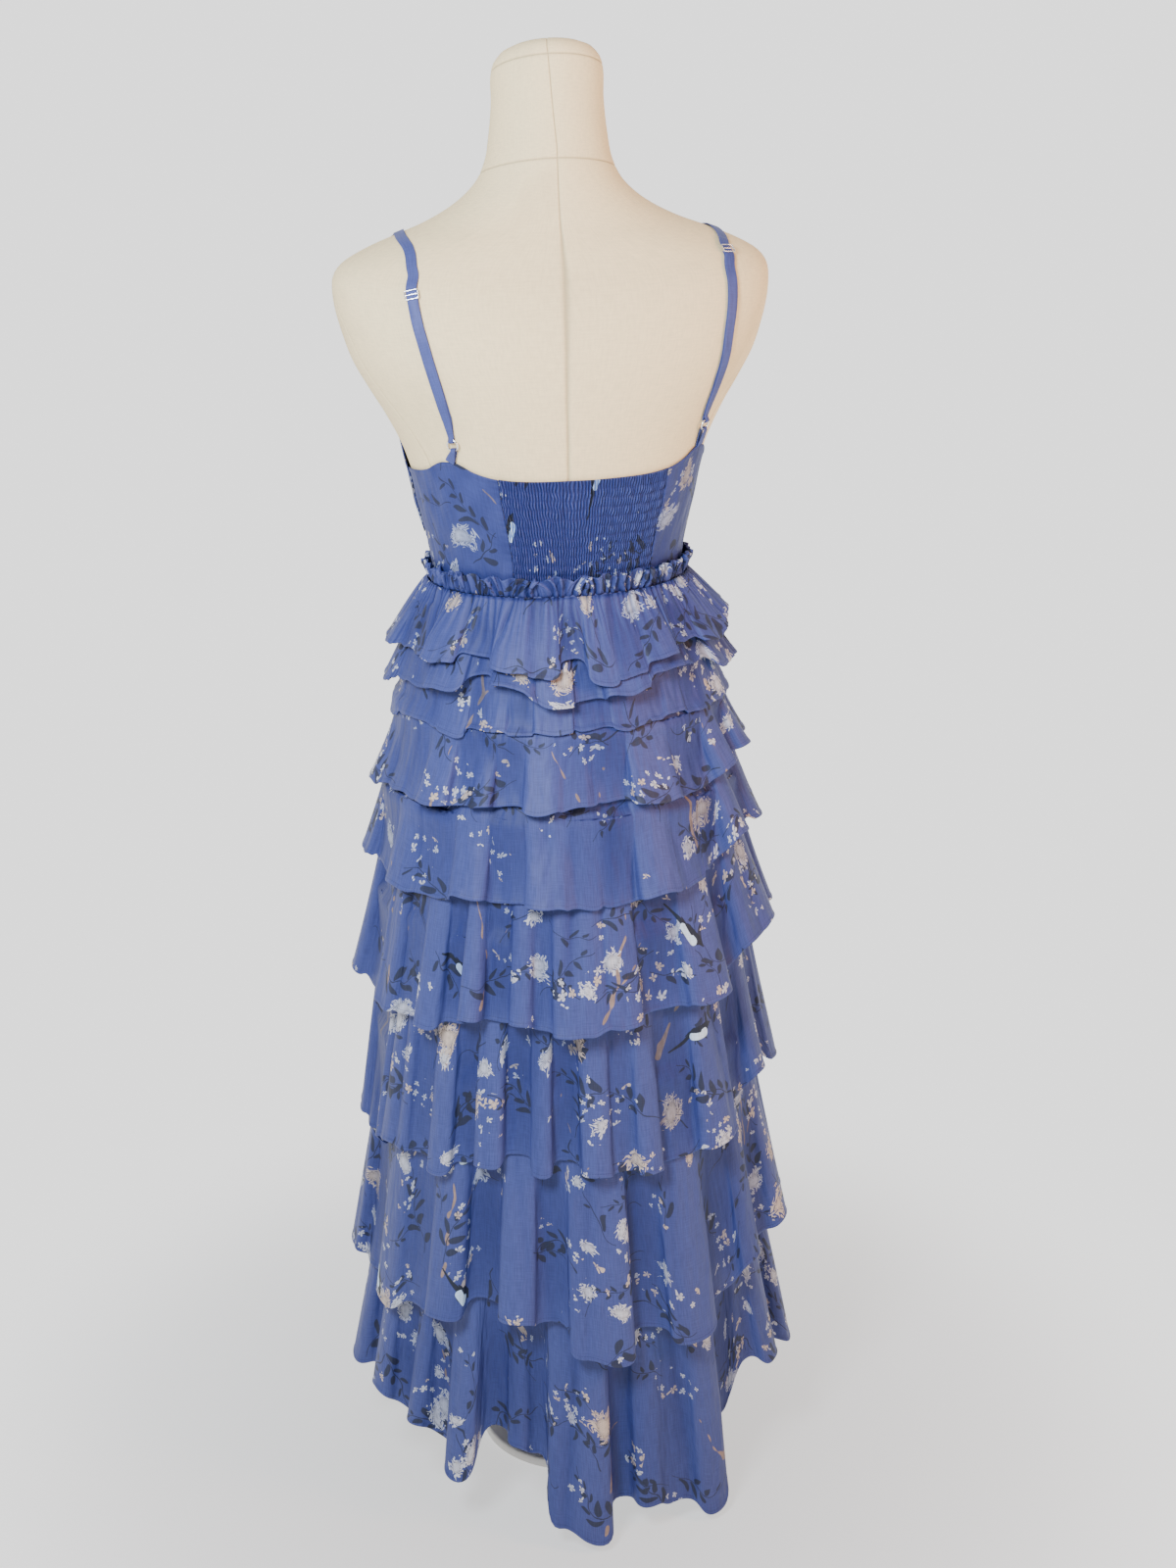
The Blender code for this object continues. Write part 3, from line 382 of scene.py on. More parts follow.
def makeSprig():
    # A bent stem with leaves in turn on both sides; leaves slant up, so their stripes run along y - 0.8 |x|.
    s, given, result, tree = newGroup("sprig", "local half bend step", "mask")
    x, y, _ = s.split(given["local"])
    half, bend, step = given["half"], given["bend"], given["step"]
    x = s.minus(x, s.times(bend, s.times(y, y)))
    aside, side = s.absolute(x), s.sign(x)
    share = s.over(y, half)
    inside = s.smooth(s.minus(1.0, s.absolute(share)), 0.0, 0.02)
    stem = s.times(s.smooth(aside, 0.0007, 0.0003), inside)
    slanted = s.minus(y, s.times(aside, 0.8))
    stripe = s.over(s.timesPlus(s.times(side, step), 0.25, slanted), step)
    number = s.floor(stripe)
    lot = s.chance(s.join(number, side, bend))
    width = s.times(s.absolute(s.minus(s.fraction(stripe), 0.5)), s.times(step, 0.78))
    taper = s.smooth(share, 1.1, -0.6, 0.45, 1.0)
    reach = s.times(s.times(s.timesPlus(lot, 0.35, 0.75), taper), s.times(step, 0.98))
    along = s.over(s.minus(aside, 0.0008), reach, clamp=True)
    swell = s.power(s.sine(s.times(s.power(along, 0.8), math.pi)), 0.75)
    leafHalf = s.times(s.times(swell, taper), s.times(step, 0.27))
    leaf = s.smooth(s.minus(leafHalf, width), -0.0001, 0.0005)
    whole = s.smooth(s.minus(s.minus(half, step), s.absolute(s.times(s.plus(number, 0.5), step))), -0.0001, 0.0001)
    leaf = s.times(s.times(leaf, whole), s.above(lot, 0.12))
    s.put(result["mask"], s.larger(stem, leaf))
    return tree


colours = {
    "ground": (0.053, 0.069, 0.225), "leaf": (0.022, 0.027, 0.052), "blossom": (0.56, 0.56, 0.61),
    "cream": (0.56, 0.45, 0.37), "twig": (0.34, 0.235, 0.195), "birdDark": (0.015, 0.02, 0.035),
    "birdPale": (0.6, 0.75, 0.88), "linen": (0.86, 0.697, 0.4), "stain": (0.56, 0.43, 0.24),
    "standPaint": (0.78, 0.76, 0.72),
}


def darker(colour, share):
    return tuple(share * part for part in colour)


def strokesMask(s, stroke, local, rows):
    # The union of strokes: start x and y, end x and y, half width at each, all in millimetres.
    mask = None
    for x0, y0, x1, y1, half0, half1 in rows:
        one = s.group(stroke, point=local, start=(x0 / 1000, y0 / 1000, 0), end=(x1 / 1000, y1 / 1000, 0),
                      startHalf=half0 / 1000, endHalf=half1 / 1000)["mask"]
        mask = one if mask is None else s.larger(mask, one)
    return mask


def makeGarden():
    # The whole print, painted back to front: ground, twigs, leaf sprigs, small blossoms, large blossoms, birds.
    s, given, result, tree = newGroup("garden print", "cloth", "colour")
    scatter, stroke, blossom, sprig = makeScatter(), makeStroke(), makeBlossom(), makeSprig()
    cloth = given["cloth"]
    colour = colours["ground"]
    wobble = s.node("TexNoise", {"Vector": cloth, "Scale": 26.0, "Detail": 1.0}, noise_dimensions="2D")["Color"]
    wander = s.vector("SUBTRACT", wobble, (0.5, 0.5, 0.5))
    shifted = s.vector("ADD", cloth, s.vector("SCALE", wander, scale=0.022))
    branches = s.group(scatter, cloth=shifted, cell=0.175, jitter=0.10, seed=3.0, swing=0.9)
    twigs = strokesMask(s, stroke, branches["local"], (
        (-6, -80, 4, -20, 2.7, 2.3), (4, -20, -3, 22, 2.3, 1.6), (-3, 22, -16, 72, 1.6, 0.7),
        (4, -20, 38, 34, 1.5, 0.4)))
    twigs = s.times(twigs, s.below(branches["pick"], 0.50))
    bark = s.blend(s.noise(shifted, 180.0, 0.0), colours["twig"], darker(colours["twig"], 0.62))
    colour = s.blend(twigs, colour, bark)
    for cell, seed, half, step, share in ((0.084, 11.0, 0.0390, 0.0150, 0.95), (0.062, 23.0, 0.0280, 0.0125, 0.75)):
        placed = s.group(scatter, cloth=shifted, cell=cell, jitter=0.40, seed=seed, swing=5.2)
        bend = s.times(s.minus(placed["size"], 0.5), 18.0)
        leaves = s.group(sprig, local=placed["local"], half=half, bend=bend, step=step)["mask"]
        leaves = s.times(leaves, s.below(s.timesPlus(placed["crowd"], 3.0, placed["pick"]), share + 1.5))
        colour = s.blend(s.times(leaves, 0.93), colour, colours["leaf"])
    thick = s.noise(cloth, 19.0, 0.0)
    for cell, seed, radius, petals, ragged, core, limit in (
            (0.0115, 31.0, 0.0050, 5.0, 0.7, 0.20, 0.0), (0.060, 47.0, 0.0130, 9.0, 1.6, 0.20, 0.20),
            (0.090, 59.0, 0.0160, 17.0, 1.3, 0.42, 0.32)):
        placed = s.group(scatter, cloth=shifted, cell=cell, jitter=0.50, seed=seed, swing=6.2)
        pick, size, crowd = placed["pick"], placed["size"], placed["crowd"]
        radius = s.times(s.timesPlus(size, 0.5, 0.68), radius)
        flower = s.group(blossom, local=placed["local"], radius=radius, petals=petals, ragged=ragged, core=core,
                         seed=size)
        if limit:
            shown = s.below(s.timesPlus(crowd, 4.0, pick), limit + 2.0)
        else:
            shown = s.times(s.below(pick, 0.55), s.above(s.minus(thick, s.times(crowd, 0.5)), 0.375))
        petal = s.tinted(s.blend(s.above(size, 0.80), colours["blossom"], colours["cream"]), flower["shade"])
        colour = s.blend(s.times(s.times(flower["mask"], shown), 0.95), colour, petal)
    birds = s.group(scatter, cloth=cloth, cell=0.150, jitter=0.50, seed=71.0, swing=3.2)
    shown = s.below(birds["pick"], 0.36)
    for tint, rows in (
            ("birdDark", ((-8, -1, -36, -9, 2.8, 0.9), (0, 0, 14, 4.5, 7.2, 5.2), (17, 6, 25, 6, 3.6, 0.2))),
            ("birdPale", ((-4, -2.4, 12, -0.2, 4.2, 4.6),)), ("birdDark", ((5, 3.6, -13, 1.2, 2.2, 0.7),))):
        colour = s.blend(s.times(strokesMask(s, stroke, birds["local"], rows), shown), colour, colours[tint])
    s.put(result["colour"], colour)
    return tree


def makeWeave():
    # Fine plain weave with slubs that run along one way: a tint to multiply with.
    s, given, result, tree = newGroup("slub weave", "cloth", "tint")
    slubs = s.noise(s.vector("MULTIPLY", given["cloth"], (900.0, 55.0, 1.0)), 1.0, 1.0, 0.6)
    cross = s.noise(s.vector("MULTIPLY", given["cloth"], (70.0, 1100.0, 1.0)), 1.0, 0.0, 0.6)
    s.put(result["tint"], s.smooth(s.timesPlus(cross, 0.45, slubs), 0.35, 1.10, 0.84, 1.12))
    return tree


def makeStitches():
    # A line of thread at a distance from the edge: 1 on each stitch.
    s, given, result, tree = newGroup("stitches", "along apart length", "mask")
    line = s.smooth(s.absolute(given["apart"]), 0.00045, 0.00020)
    dash = s.below(s.fraction(s.over(given["along"], given["length"])), 0.72)
    s.put(result["mask"], s.times(line, dash))
    return tree


garden, weave, stitches = makeGarden(), makeWeave(), makeStitches()


def newMaterial(name):
    material = bpy.data.materials.new(name)
    material.use_nodes = True
    material.node_tree.nodes.clear()
    s = Sketch(material.node_tree)
    return material, s, s.tree.nodes.new("ShaderNodeOutputMaterial").inputs["Surface"]


def makeCloth(name, offset, stretch=1.0, hems=(), plain=False, shaded=False, patches=None):
    # Printed cloth: offset moves the print, stretch is cloth metres for each metre shown, hems are stitch lines,
    # patches are the spans of length (from, to) that show the print on a piece that is plain elsewhere.
    material, s, surface = newMaterial(name)
    uv = s.node("UVMap", uv_map="cloth")[0]
    x, y, _ = s.split(uv)
    spot = s.vector("ADD", s.vector("MULTIPLY", uv, (stretch, 1.0, 1.0)), (offset[0], offset[1], 0.0))
    colour = colours["ground"] if plain else s.group(garden, cloth=spot)["colour"]
    if patches:
        shown = 0.0
        for low, high in patches:
            shown = s.plus(shown, s.times(s.above(y, low), s.below(y, high)))
        colour = s.blend(shown, colours["ground"], colour)
    tint = s.group(weave, cloth=spot)["tint"]
    tint = s.join(tint, tint, tint)
    if shaded:
        # Light that reaches a crease has passed through cloth, so red and green fade there before blue does.
        shown = s.node("Attribute", attribute_name="shade")["Fac"]
        tint = s.vector("MULTIPLY", tint, s.join(*(s.power(shown, power) for power in (1.45, 1.20, 0.70))))
    colour = s.blend(1.0, colour, tint, "MULTIPLY")
    for distance in hems:
        mask = s.group(stitches, along=x, apart=s.minus(y, distance), length=0.0026)["mask"]
        colour = s.blend(s.times(mask, 0.55), colour, darker(colours["ground"], 0.45))
    creases = s.noise(s.vector("MULTIPLY", spot, (75.0, 22.0, 1.0)), 1.0, 1.5, 0.55)
    s.shader(surface, colour, 0.58, **{"Specular IOR Level": 0.30}, Normal=s.bump(creases, 0.0045, 0.55))
    return material


def makeLinen():
    material, s, surface = newMaterial("cream linen")
    uv = s.node("UVMap", uv_map="cloth")[0]
    x, y, _ = s.split(uv)
    threads = s.plus(s.sine(s.times(x, 5200.0)), s.sine(s.times(y, 5200.0)))
    slubs = [s.noise(s.vector("MULTIPLY", uv, way), 1.0, 3.0, 0.6) for way in ((700.0, 90.0, 1.0), (90.0, 700.0, 1.0))]
    flecks = s.plus(*slubs)
    colour = s.blend(s.smooth(s.noise(uv, 9.0, 3.0, 0.6), 0.50, 0.80, 0.0, 0.30), colours["linen"], colours["stain"])
    # The shade attribute is painted shade, darker in the form's pressed seam lines.
    shown = s.node("Attribute", attribute_name="shade")["Fac"]
    colour = s.tinted(colour, s.times(s.smooth(flecks, 0.6, 1.4, 0.92, 1.05), shown))
    s.shader(surface, colour, 0.88, Normal=s.bump(s.timesPlus(threads, 0.10, flecks), 0.00030, 0.55))
    return material


def makeMetal():
    material, s, surface = newMaterial("bright metal")
    wear = s.noise(s.node("TexCoord")["Object"], 900.0, 3.0, 0.6, solid=True)
    s.shader(surface, (0.78, 0.78, 0.80), s.smooth(wear, 0.3, 0.8, 0.16, 0.34), Metallic=1.0)
    return material


def makeStandPaint():
    material, s, surface = newMaterial("stand paint")
    where = s.node("TexCoord")["Object"]
    marks = s.noise(where, 60.0, 4.0, 0.6, solid=True)
    clean = colours["standPaint"]
    colour = s.blend(s.smooth(marks, 0.45, 0.8, 0.0, 0.25), clean, darker(clean, 0.8))
    grain = s.bump(s.noise(where, 1400.0, 2.0, solid=True), 0.0001, 0.2)
    s.shader(surface, colour, s.smooth(marks, 0.3, 0.8, 0.38, 0.55), Normal=grain)
    return material


linen, metal, paint = makeLinen(), makeMetal(), makeStandPaint()
print("materials done")


ruffle = {
    "columnStep": 0.6, "layerStep": 0.0025, "square": 0.485, "foldRise": 0.85, "gathers": 116, "gatherDepth": 0.004,
    "foldDepth": 0.0062, "driftDepth": 0.0022, "hemRoll": 0.00055, "seed": 5,
}
# Ruffle tiers: seam height, hem's half width in a valley and on a crest, flare, front waves, rows of the mesh.
tiers = (
    (-0.001, 0.15, 0.1705, 1.0, 7, 16), (-0.02, 0.152, 0.1735, 1.2, 7, 14), (-0.045, 0.152, 0.167, 1.2, 7, 14),
    (-0.07, 0.168, 0.191, 1.6, 7, 16), (-0.12, 0.178, 0.202, 1.6, 7, 18), (-0.2, 0.192, 0.219, 1.5, 8, 22),
    (-0.32, 0.194, 0.2195, 1.5, 8, 24), (-0.47, 0.205, 0.2345, 1.5, 8, 26), (-0.64, 0.2, 0.2385, 1.5, 8, 30),
)
# Folds of each hem over the back: turn, reach (0 valley, 1 crest), height in mm.
foldRows = (
    ((-100, 1, -62), (-72, 0.2, -61), (-50, 0.9, -59), (-40, 0.1, -50), (-22, 1, -60), (-11, 0.9, -67),
     (-3, 0, -52), (7, 1, -75), (17, 0.45, -70), (29, 0.85, -58), (45, 0.15, -52), (58, 1, -57),
     (78, 0.8, -42)),
    ((-100, 1, -100), (-70, 0.4, -91), (-45, 1, -82), (-36, 0.1, -68), (-26, 0.8, -74), (-8, 1, -93),
     (2, 0.3, -90), (12, 1, -85), (34, 0.5, -71), (54, 0.1, -76), (64, 0.9, -88), (80, 1, -86)),
    ((-100, 1, -135), (-62, 0.5, -122), (-44, 1, -128), (-38, 0.1, -118), (-30, 0.8, -119), (-22, 0.4, -121),
     (-12, 1, -119), (5, 0.2, -116), (15, 0.7, -120), (34, 0.7, -115), (47, 0.2, -120), (57, 0.9, -119),
     (76, 1, -119)),
    ((-103, 1, -205), (-66, 0.5, -196), (-48, 1, -191), (-40, 0.5, -190), (-33, 0.9, -187), (-26, 0.2, -187),
     (-14, 1, -189), (-3, 0.6, -186), (9, 0.2, -185), (19, 1, -188), (42, 0.3, -193), (52, 1, -177),
     (60, 0.4, -174), (68, 1, -170)),
    ((-105, 1, -285), (-80, 0.3, -286), (-62, 0.9, -284), (-50, 0.4, -286), (-36, 0.9, -274), (-26, 0.2, -280),
     (-13, 1, -278), (-2, 0.6, -282), (8, 0.2, -284), (20, 1, -275), (34, 0.6, -277), (43, 0.1, -271),
     (54, 1, -245), (62, 0.4, -245), (72, 1, -249)),
    ((-100, 1, -413), (-84, 0.2, -420), (-68, 0.8, -415), (-58, 0.4, -412), (-48, 1, -411), (-41, 0.2, -405),
     (-35, 1, -391), (-28, 0.1, -397), (-20, 0.8, -393), (-15, 0.4, -400), (-9, 1, -402), (8, 0.9, -398),
     (17, 0.1, -395), (36, 1, -391), (46, 0.1, -380), (54, 0.8, -356), (64, 1, -349)),
    ((-103, 1, -580), (-88, 0.2, -590), (-62, 0.9, -560), (-54, 0.4, -560), (-45, 1, -566), (-39, 0.1, -552),
     (-31, 1, -546), (-22, 0.05, -534), (-16, 1, -551), (-10, 0.1, -541), (-1, 1, -551), (7, 0.5, -554),
     (13, 1, -556), (22, 0.1, -556), (38, 1, -549), (50, 0.1, -525), (58, 0.8, -503), (65, 0.3, -505),
     (73, 1, -517)),
    ((-98, 1, -735), (-84, 0.2, -745), (-66, 0.8, -745), (-56, 0.4, -730), (-43, 1, -721), (-33, 0, -700),
     (-23, 1, -705), (-13, 0.3, -712), (-6, 0.9, -746), (4, 1, -755), (11, 0.1, -730), (24, 1, -750),
     (40, 0.1, -725), (49, 0.7, -700), (57, 0.3, -698), (66, 1, -688)),
    ((-90, 1, -864), (-80, 0.3, -862), (-69, 1, -852), (-62, 0.4, -868), (-55, 0.8, -864), (-49, 0.3, -880),
     (-40, 1, -905), (-31, 0.05, -850), (-24, 0.5, -862), (-19, 0.2, -872), (-13, 0.9, -944), (-2, 1, -962),
     (4, 0.2, -930), (11, 0.7, -934), (19, 0.5, -942), (31, 1, -963), (41, 0.1, -880), (48, 0.3, -828),
     (57, 0.9, -838), (67, 0.3, -850), (77, 1, -862)),
)


def seat(height):
    return smoothRead(seatRows, 1, height)


def tierFolds(number):
    # The table's folds over the back, then even seeded ones round the hidden front.
    folds = [tuple(map(float, fold)) for fold in foldRows[number]]
    chance = np.random.default_rng(100 + number)
    first, last = folds[0], folds[-1]
    span = first[0] + 360.0 - last[0]
    steps = 2 * tiers[number][4]
    for step in range(1, steps):
        share = step / steps
        shift = chance.uniform(-0.16, 0.16) * span / steps
        reach = chance.uniform(0.82, 1.0) if step % 2 == 0 else chance.uniform(0.05, 0.28)
        hem = last[2] + (first[2] - last[2]) * share + chance.uniform(-5.0, 5.0)
        folds.append((last[0] + span * share + shift, reach, hem))
    return folds + [(first[0] + 360.0, first[1], first[2])]


def softMax(first, second, ease=0.0016):
    # At least the greater of the two, and rounded where they cross.
    return (first + second + np.sqrt((first - second) ** 2 + ease ** 2)) / 2


def readMap(known, turn, height):
    # The half width under a point, straight between the map's cells.
    grid, low, step = known
    column = (turn % 360.0) * 2.0
    row = np.clip((height - low) / step, 0, grid.shape[0] - 1.001)
    i, j = np.floor(row).astype(int), np.floor(column).astype(int)
    a, b = row - i, column - j
    j, nextJ = j % 720, (j + 1) % 720
    lower, upper = ((1 - b) * grid[level, j] + b * grid[level, nextJ] for level in (i, i + 1))
    return (1 - a) * lower + a * upper


def widthMap(turn, height, width, top):
    # Half widths on an even grid of turns and heights, each the greatest of its neighbours.
    bins, step = np.arange(720) / 2.0, 0.003
    low = height.min() - 0.006
    levels = np.arange(low, top + 0.060, step)
    heights = np.stack([np.interp(bins, turn[i], height[i], period=360) for i in range(len(turn))])
    widths = np.stack([np.interp(bins, turn[i], width[i], period=360) for i in range(len(turn))])
    grid = np.stack([np.interp(levels, heights[:, k], widths[:, k]) for k in range(720)], 1)
    above = levels > top
    grid[above] = (seat(levels[above]) + dress["cadCloth"] + dress["seatGap"])[:, None]
    grid = np.max([np.roll(grid, k, 1) for k in (-3, -2, -1, 0, 1, 2, 3)], 0)
    padded = np.concatenate((grid[:1], grid, grid[-1:]))
    return np.maximum(np.maximum(padded[:-2], padded[1:-1]), padded[2:]), low, step


def makeRuffle(number, under):
    # From fold to fold the reach and hem height ease as (1 - cos) / 2, and turns are pulled
    # towards the folds, which squares the flutes. Gathers fade downward; each layer stays outside the one under it.
    top, valley, crest, flare, _, rowCount = tiers[number]
    chance = np.random.default_rng(ruffle["seed"] * 100 + number)
    folds = tierFolds(number)
    turns, reaches, hems, pulls = [], [], [], []
    for near, far in zip(folds, folds[1:]):
        span = far[0] - near[0]
        steps = max(5, round(span / ruffle["columnStep"]))
        share = np.arange(steps) / steps
        ease = (1 - np.cos(np.pi * share)) / 2
        turns.append(near[0] + span * share)
        reaches.append(near[1] + (far[1] - near[1]) * ease)
        hems.append((near[2] + (far[2] - near[2]) * ease) / 1000)
        square = ruffle["square"] * min(1.0, abs(far[1] - near[1]) / 0.6)
        pulls.append(span * square * np.sin(2 * np.pi * share) / np.pi)
    turn, reach, hem, pull = (np.concatenate(part) for part in (turns, reaches, hems, pulls))
    roundShare = (turn % 360.0) / 360.0
    length = top - hem
    rolled = np.array([0.0, 0.0009, 0.0020, 0.0032, 0.0042])
    bulge = np.array([0.6, 1.0, 1.0, 0.55, 0.0])
    lower = 1 - rolled[:, None] / length
    share = np.concatenate((lower, lower[-1:] * (1 - np.linspace(0, 1, rowCount)[1:, None])))
    hem = hem + 0.0010 * waves(chance, roundShare, 24, 60, 5)
    height = top + (hem - top) * share
    turn = turn + pull * np.minimum(1.0, 1.5 * share)
    start = seat(top) + dress["cadCloth"] + dress["seatGap"]
    width = start + (valley - start) * share ** flare + (crest - valley) * reach * share ** ruffle["foldRise"]
    gather = pleats(chance, roundShare, ruffle["gathers"], 1.3)
    coarse = pleats(chance, roundShare, 32, 1.6, share, 0.25)
    broad = waves(chance, roundShare, 9, 22, 5, share, 0.9)
    fade = np.exp(-(share * length / 0.032) ** 1.2)
    width = width + ruffle["gatherDepth"] * gather * fade * (0.75 + 0.25 * (1 - np.exp(-share * length / 0.002)))
    strong = np.clip(0.8 + 0.5 * waves(chance, roundShare, 5, 14, 4), 0.1, 1.6)
    width = width + ruffle["foldDepth"] * (coarse - 0.66) * strong * np.sqrt(share) * (1.22 - share) ** 0.7
    # Painted shade: darker in the gathers near the seam, in the coarse fold valleys and the table's valleys, and in a
    # line just under the seam, lightest on the crests.
    shown = 1 - 0.62 * (1 - gather) * fade - 0.42 * (1 - coarse) ** 2 * strong * (1.25 - share)
    shown = shown * (1 - 0.50 * (1 - reach) * np.sin(math.pi * 0.85 * share))
    shown = np.clip(shown * (1 - 0.60 * np.exp(-share * length / 0.0030) * (1.15 - gather)), 0.12, 1.0)
    width = width + ruffle["driftDepth"] * 0.6 * broad * share
    width = softMax(width, seat(height) + dress["cloth"] + 0.0012)
    if under is not None:
        width = softMax(width, readMap(under, turn, height) + ruffle["layerStep"])
    width[:len(rolled)] += ruffle["hemRoll"] * bulge[:, None]
    outer = skirtPoint(turn, height, width)
    uv = clothUv(outer, True, along=len(rolled))
    thickness = np.full(share.shape, dress["cloth"])
    thickness[:len(rolled)] += 2 * ruffle["hemRoll"] * bulge[:, None]
    offset = (0.37 * number + 0.11, 0.23 * number)
    material = makeCloth("ruffle cloth %d" % (number + 1), offset, hems=(0.0040,), shaded=True)
    thing = shell("ruffle%dCloth" % (number + 1), outer, thickness, True, uv, material)
    addShade(thing, shown)
    flat = (float(uv[0, -1, 0]), float(uv[-1, :, 1].mean()))
    return thing, flat, widthMap(turn, height, width, top)


def place(thing, node):
    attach(thing, "root")
    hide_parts(node)


def sew(thing, node, flat, held, *restsOn, **others):
    place(thing, node)


under = None
for number in reversed(range(len(tiers))):
    cloth, flat, under = makeRuffle(number, under)
    sew(cloth, "ruffle_%d" % (number + 1), flat, "gathered", "skirt_base")
    print("ruffle %d: cut %.2f by %.3f m" % (number + 1, *flat))
print("ruffles done")


# The bodice's top edge: turn from the dress's middle, height.
backEdgeRows = ((0, 0.109), (33, 0.112), (43, 0.118), (50, 0.1258), (56, 0.1262), (70, 0.116), (97, 0.108))
cupEdgeRows = ((97, 0.108), (106, 0.115), (120, 0.145), (133, 0.19), (137, 0.2), (142, 0.198),
               (155, 0.155), (168, 0.115), (180, 0.085))


def backEdge(turn):
    return smoothRead(backEdgeRows, 1, np.abs(turn))


def cupEdge(turn):
    return smoothRead(cupEdgeRows, 1, np.abs(turnApart(turn, 0.0)))


def cupSwell(u, v):
    return 0.0014 + 0.006 * np.sin(math.pi * u) * np.sin(math.pi * np.minimum(1.0, v * 1.15)) ** 0.8


def panel(name, node, first, last, low, high, swell, offset, seed):
    # A bodice panel between two turns: small soft folds, puckers beside its seams, and a folded top edge.
    columns, rows = int(abs(last - first) / 0.9), 46
    chance = np.random.default_rng(seed)
    u = np.linspace(0, 1, columns + 1)[None, :]
    v = np.concatenate((np.linspace(0, 0.94, rows), np.linspace(0.95, 1.0, 8)))[:, None]
    turn = first + (last - first) * u
    bottom, top = low(turn), high(turn)
    height = bottom + (top - bottom) * v
    out = dress["bodyGap"] + dress["cloth"] + 0.0002 + swell * cupSwell(u, v)
    seamU = np.minimum(u, 1 - u) * abs(last - first) / 57.3 * 0.125
    pucker = np.exp(-seamU / 0.006) * (0.5 + 0.5 * waves(chance, v, 12, 22, 3, u, 2.0))
    out = out + 0.0004 * (1 + 0.6 * waves(chance, u, 1, 5, 5, v, 4.0)) * np.sin(math.pi * v) ** 0.5 + 0.0003 * pucker
    out = out + 0.0004 * np.exp(-((top - height - 0.002) / 0.002) ** 2)
    outer = bodyPoint(turn + dress["turn"], height, out)
    uv = clothUv(outer, False)
    fallen = uv.copy()
    fallen[..., 1] = uv[..., 1] - uv[-1:, :, 1]
    material = makeCloth(node + " cloth", offset, hems=(-0.0050,), shaded=True)
    thing = shell(name, outer, dress["cloth"], False, fallen, material)
    # Painted shade: the whole panel darker, as less light falls on it, and darker still in the puckers beside its
    # seams.
    addShade(thing, 0.62 - 0.14 * pucker + 0.05 * waves(chance, u, 1, 4, 4, v, 3.0))
    flat = (float(uv[..., 0].max()), float(uv[..., 1].max()))
    area = flat[0] * float(uv[-1, :, 1].mean())
    sew(thing, node, flat, "stretched", "dress_form", area=max(area, 0.31 * flat[0] * flat[1]))


def level(height):
    return lambda turn: 0 * turn + height


gap, side, smock = dress["seamGap"], dress["sideSeam"], dress["smockHalf"]
waistLine = level(dress["seamLift"])
midriffTop = level(dress["midriffHeight"] - dress["seamLift"])
cupBottom = level(dress["midriffHeight"] + dress["seamLift"])
panel("leftBackPanel", "back_side_left", -side + gap, -smock - gap, waistLine, backEdge, 0, (0.530, 0.41), 61)
panel("rightBackPanel", "back_side_right", smock + gap, side - gap, waistLine, backEdge, 0, (0.215, 0.93), 62)
panel("frontMidriff", "front_midriff", side + gap, 360 - side - gap, waistLine, midriffTop, 0, (1.31, 0.17), 63)
panel("rightCup", "front_cup_right", side + gap, 180 - gap, cupBottom, cupEdge, 1, (1.72, 0.55), 64)
panel("leftCup", "front_cup_left", 180 + gap, 360 - side - gap, cupBottom, cupEdge, 1, (2.18, 0.35), 65)


smocking = {"rows": 12, "ribs": 60, "relief": 0.0026, "perRib": 8, "perRow": 7, "gathering": 1.9}


def makeSmocking():
    # Rows of elastic thread pull the cloth into ribs: relief is a rib wave round times a bump between two rows.
    ribs, rows = smocking["ribs"], smocking["rows"]
    chance = np.random.default_rng(71)
    first, last = -smock + gap, smock - gap
    u = np.linspace(0, 1, ribs * smocking["perRib"] + 1)[None, :]
    v = np.linspace(0, 1, rows * smocking["perRow"] + 1)[:, None]
    turn = first + (last - first) * u
    height = dress["seamLift"] + (backEdge(turn) - dress["seamLift"]) * v
    band = v * rows + 0.10 * waves(chance, u, 2, 9, 4)
    between = np.abs(np.sin(math.pi * band)) ** 0.6
    casing = np.clip((band - (rows - 1.05)) / 0.1, 0, 1)
    between = between * (1 - casing) + 0.75 * casing
    wander = 0.9 * waves(chance, u, 3, 14, 6, v, 9.0)
    jog = 1.1 * np.sin(2.4 * np.floor(band) + 1.7 * np.floor(band) ** 2) * (1 - casing)
    rib = (0.5 + 0.5 * np.cos(2 * math.pi * ribs * u + wander + jog * between)) ** 0.8
    strong = 0.80 + 0.22 * waves(chance, u, 6, 20, 5, v, 8.0)
    relief = smocking["relief"] * (0.10 + rib * (0.20 + 0.70 * between) * strong)
    # Painted shade: darker in the grooves between ribs and in the pinched rows, and a little darker on the top casing.
    shown = np.clip(0.20 + 0.80 * rib * strong * (0.35 + 0.65 * between), 0.1, 1.0) * (1 - 0.15 * casing)
    fade = np.minimum(1.0, np.minimum(u, 1 - u) / 0.015)
    relief = np.clip(relief * (0.4 + 0.6 * fade), 0.0002, 0.0034)
    outer = bodyPoint(turn + dress["turn"], height, dress["bodyGap"] + dress["cadCloth"] + relief - 0.0005)
    inner = bodyPoint(turn + dress["turn"], height, dress["bodyGap"])
    uv = clothUv(inner, False)
    uv[..., 1] -= uv[-1:, :, 1]
    material = makeCloth("smocked cloth", (0.71, 1.37), stretch=smocking["gathering"], shaded=True)
    thing = shell("smockedPanel", outer, 0.0, False, uv, material, inner)
    addShade(thing, shown)
    flat = (float(uv[..., 0].max()) * 1.25, float(-uv[..., 1].min()))
    sew(thing, "back_smocked", flat, "gathered", "dress_form")


makeSmocking()
print("bodice done")


heading = {"height": 0.0165, "waves": 104, "swing": 0.0046, "flare": 0.0024, "gap": 0.0006, "columns": 1400, "rows": 12}


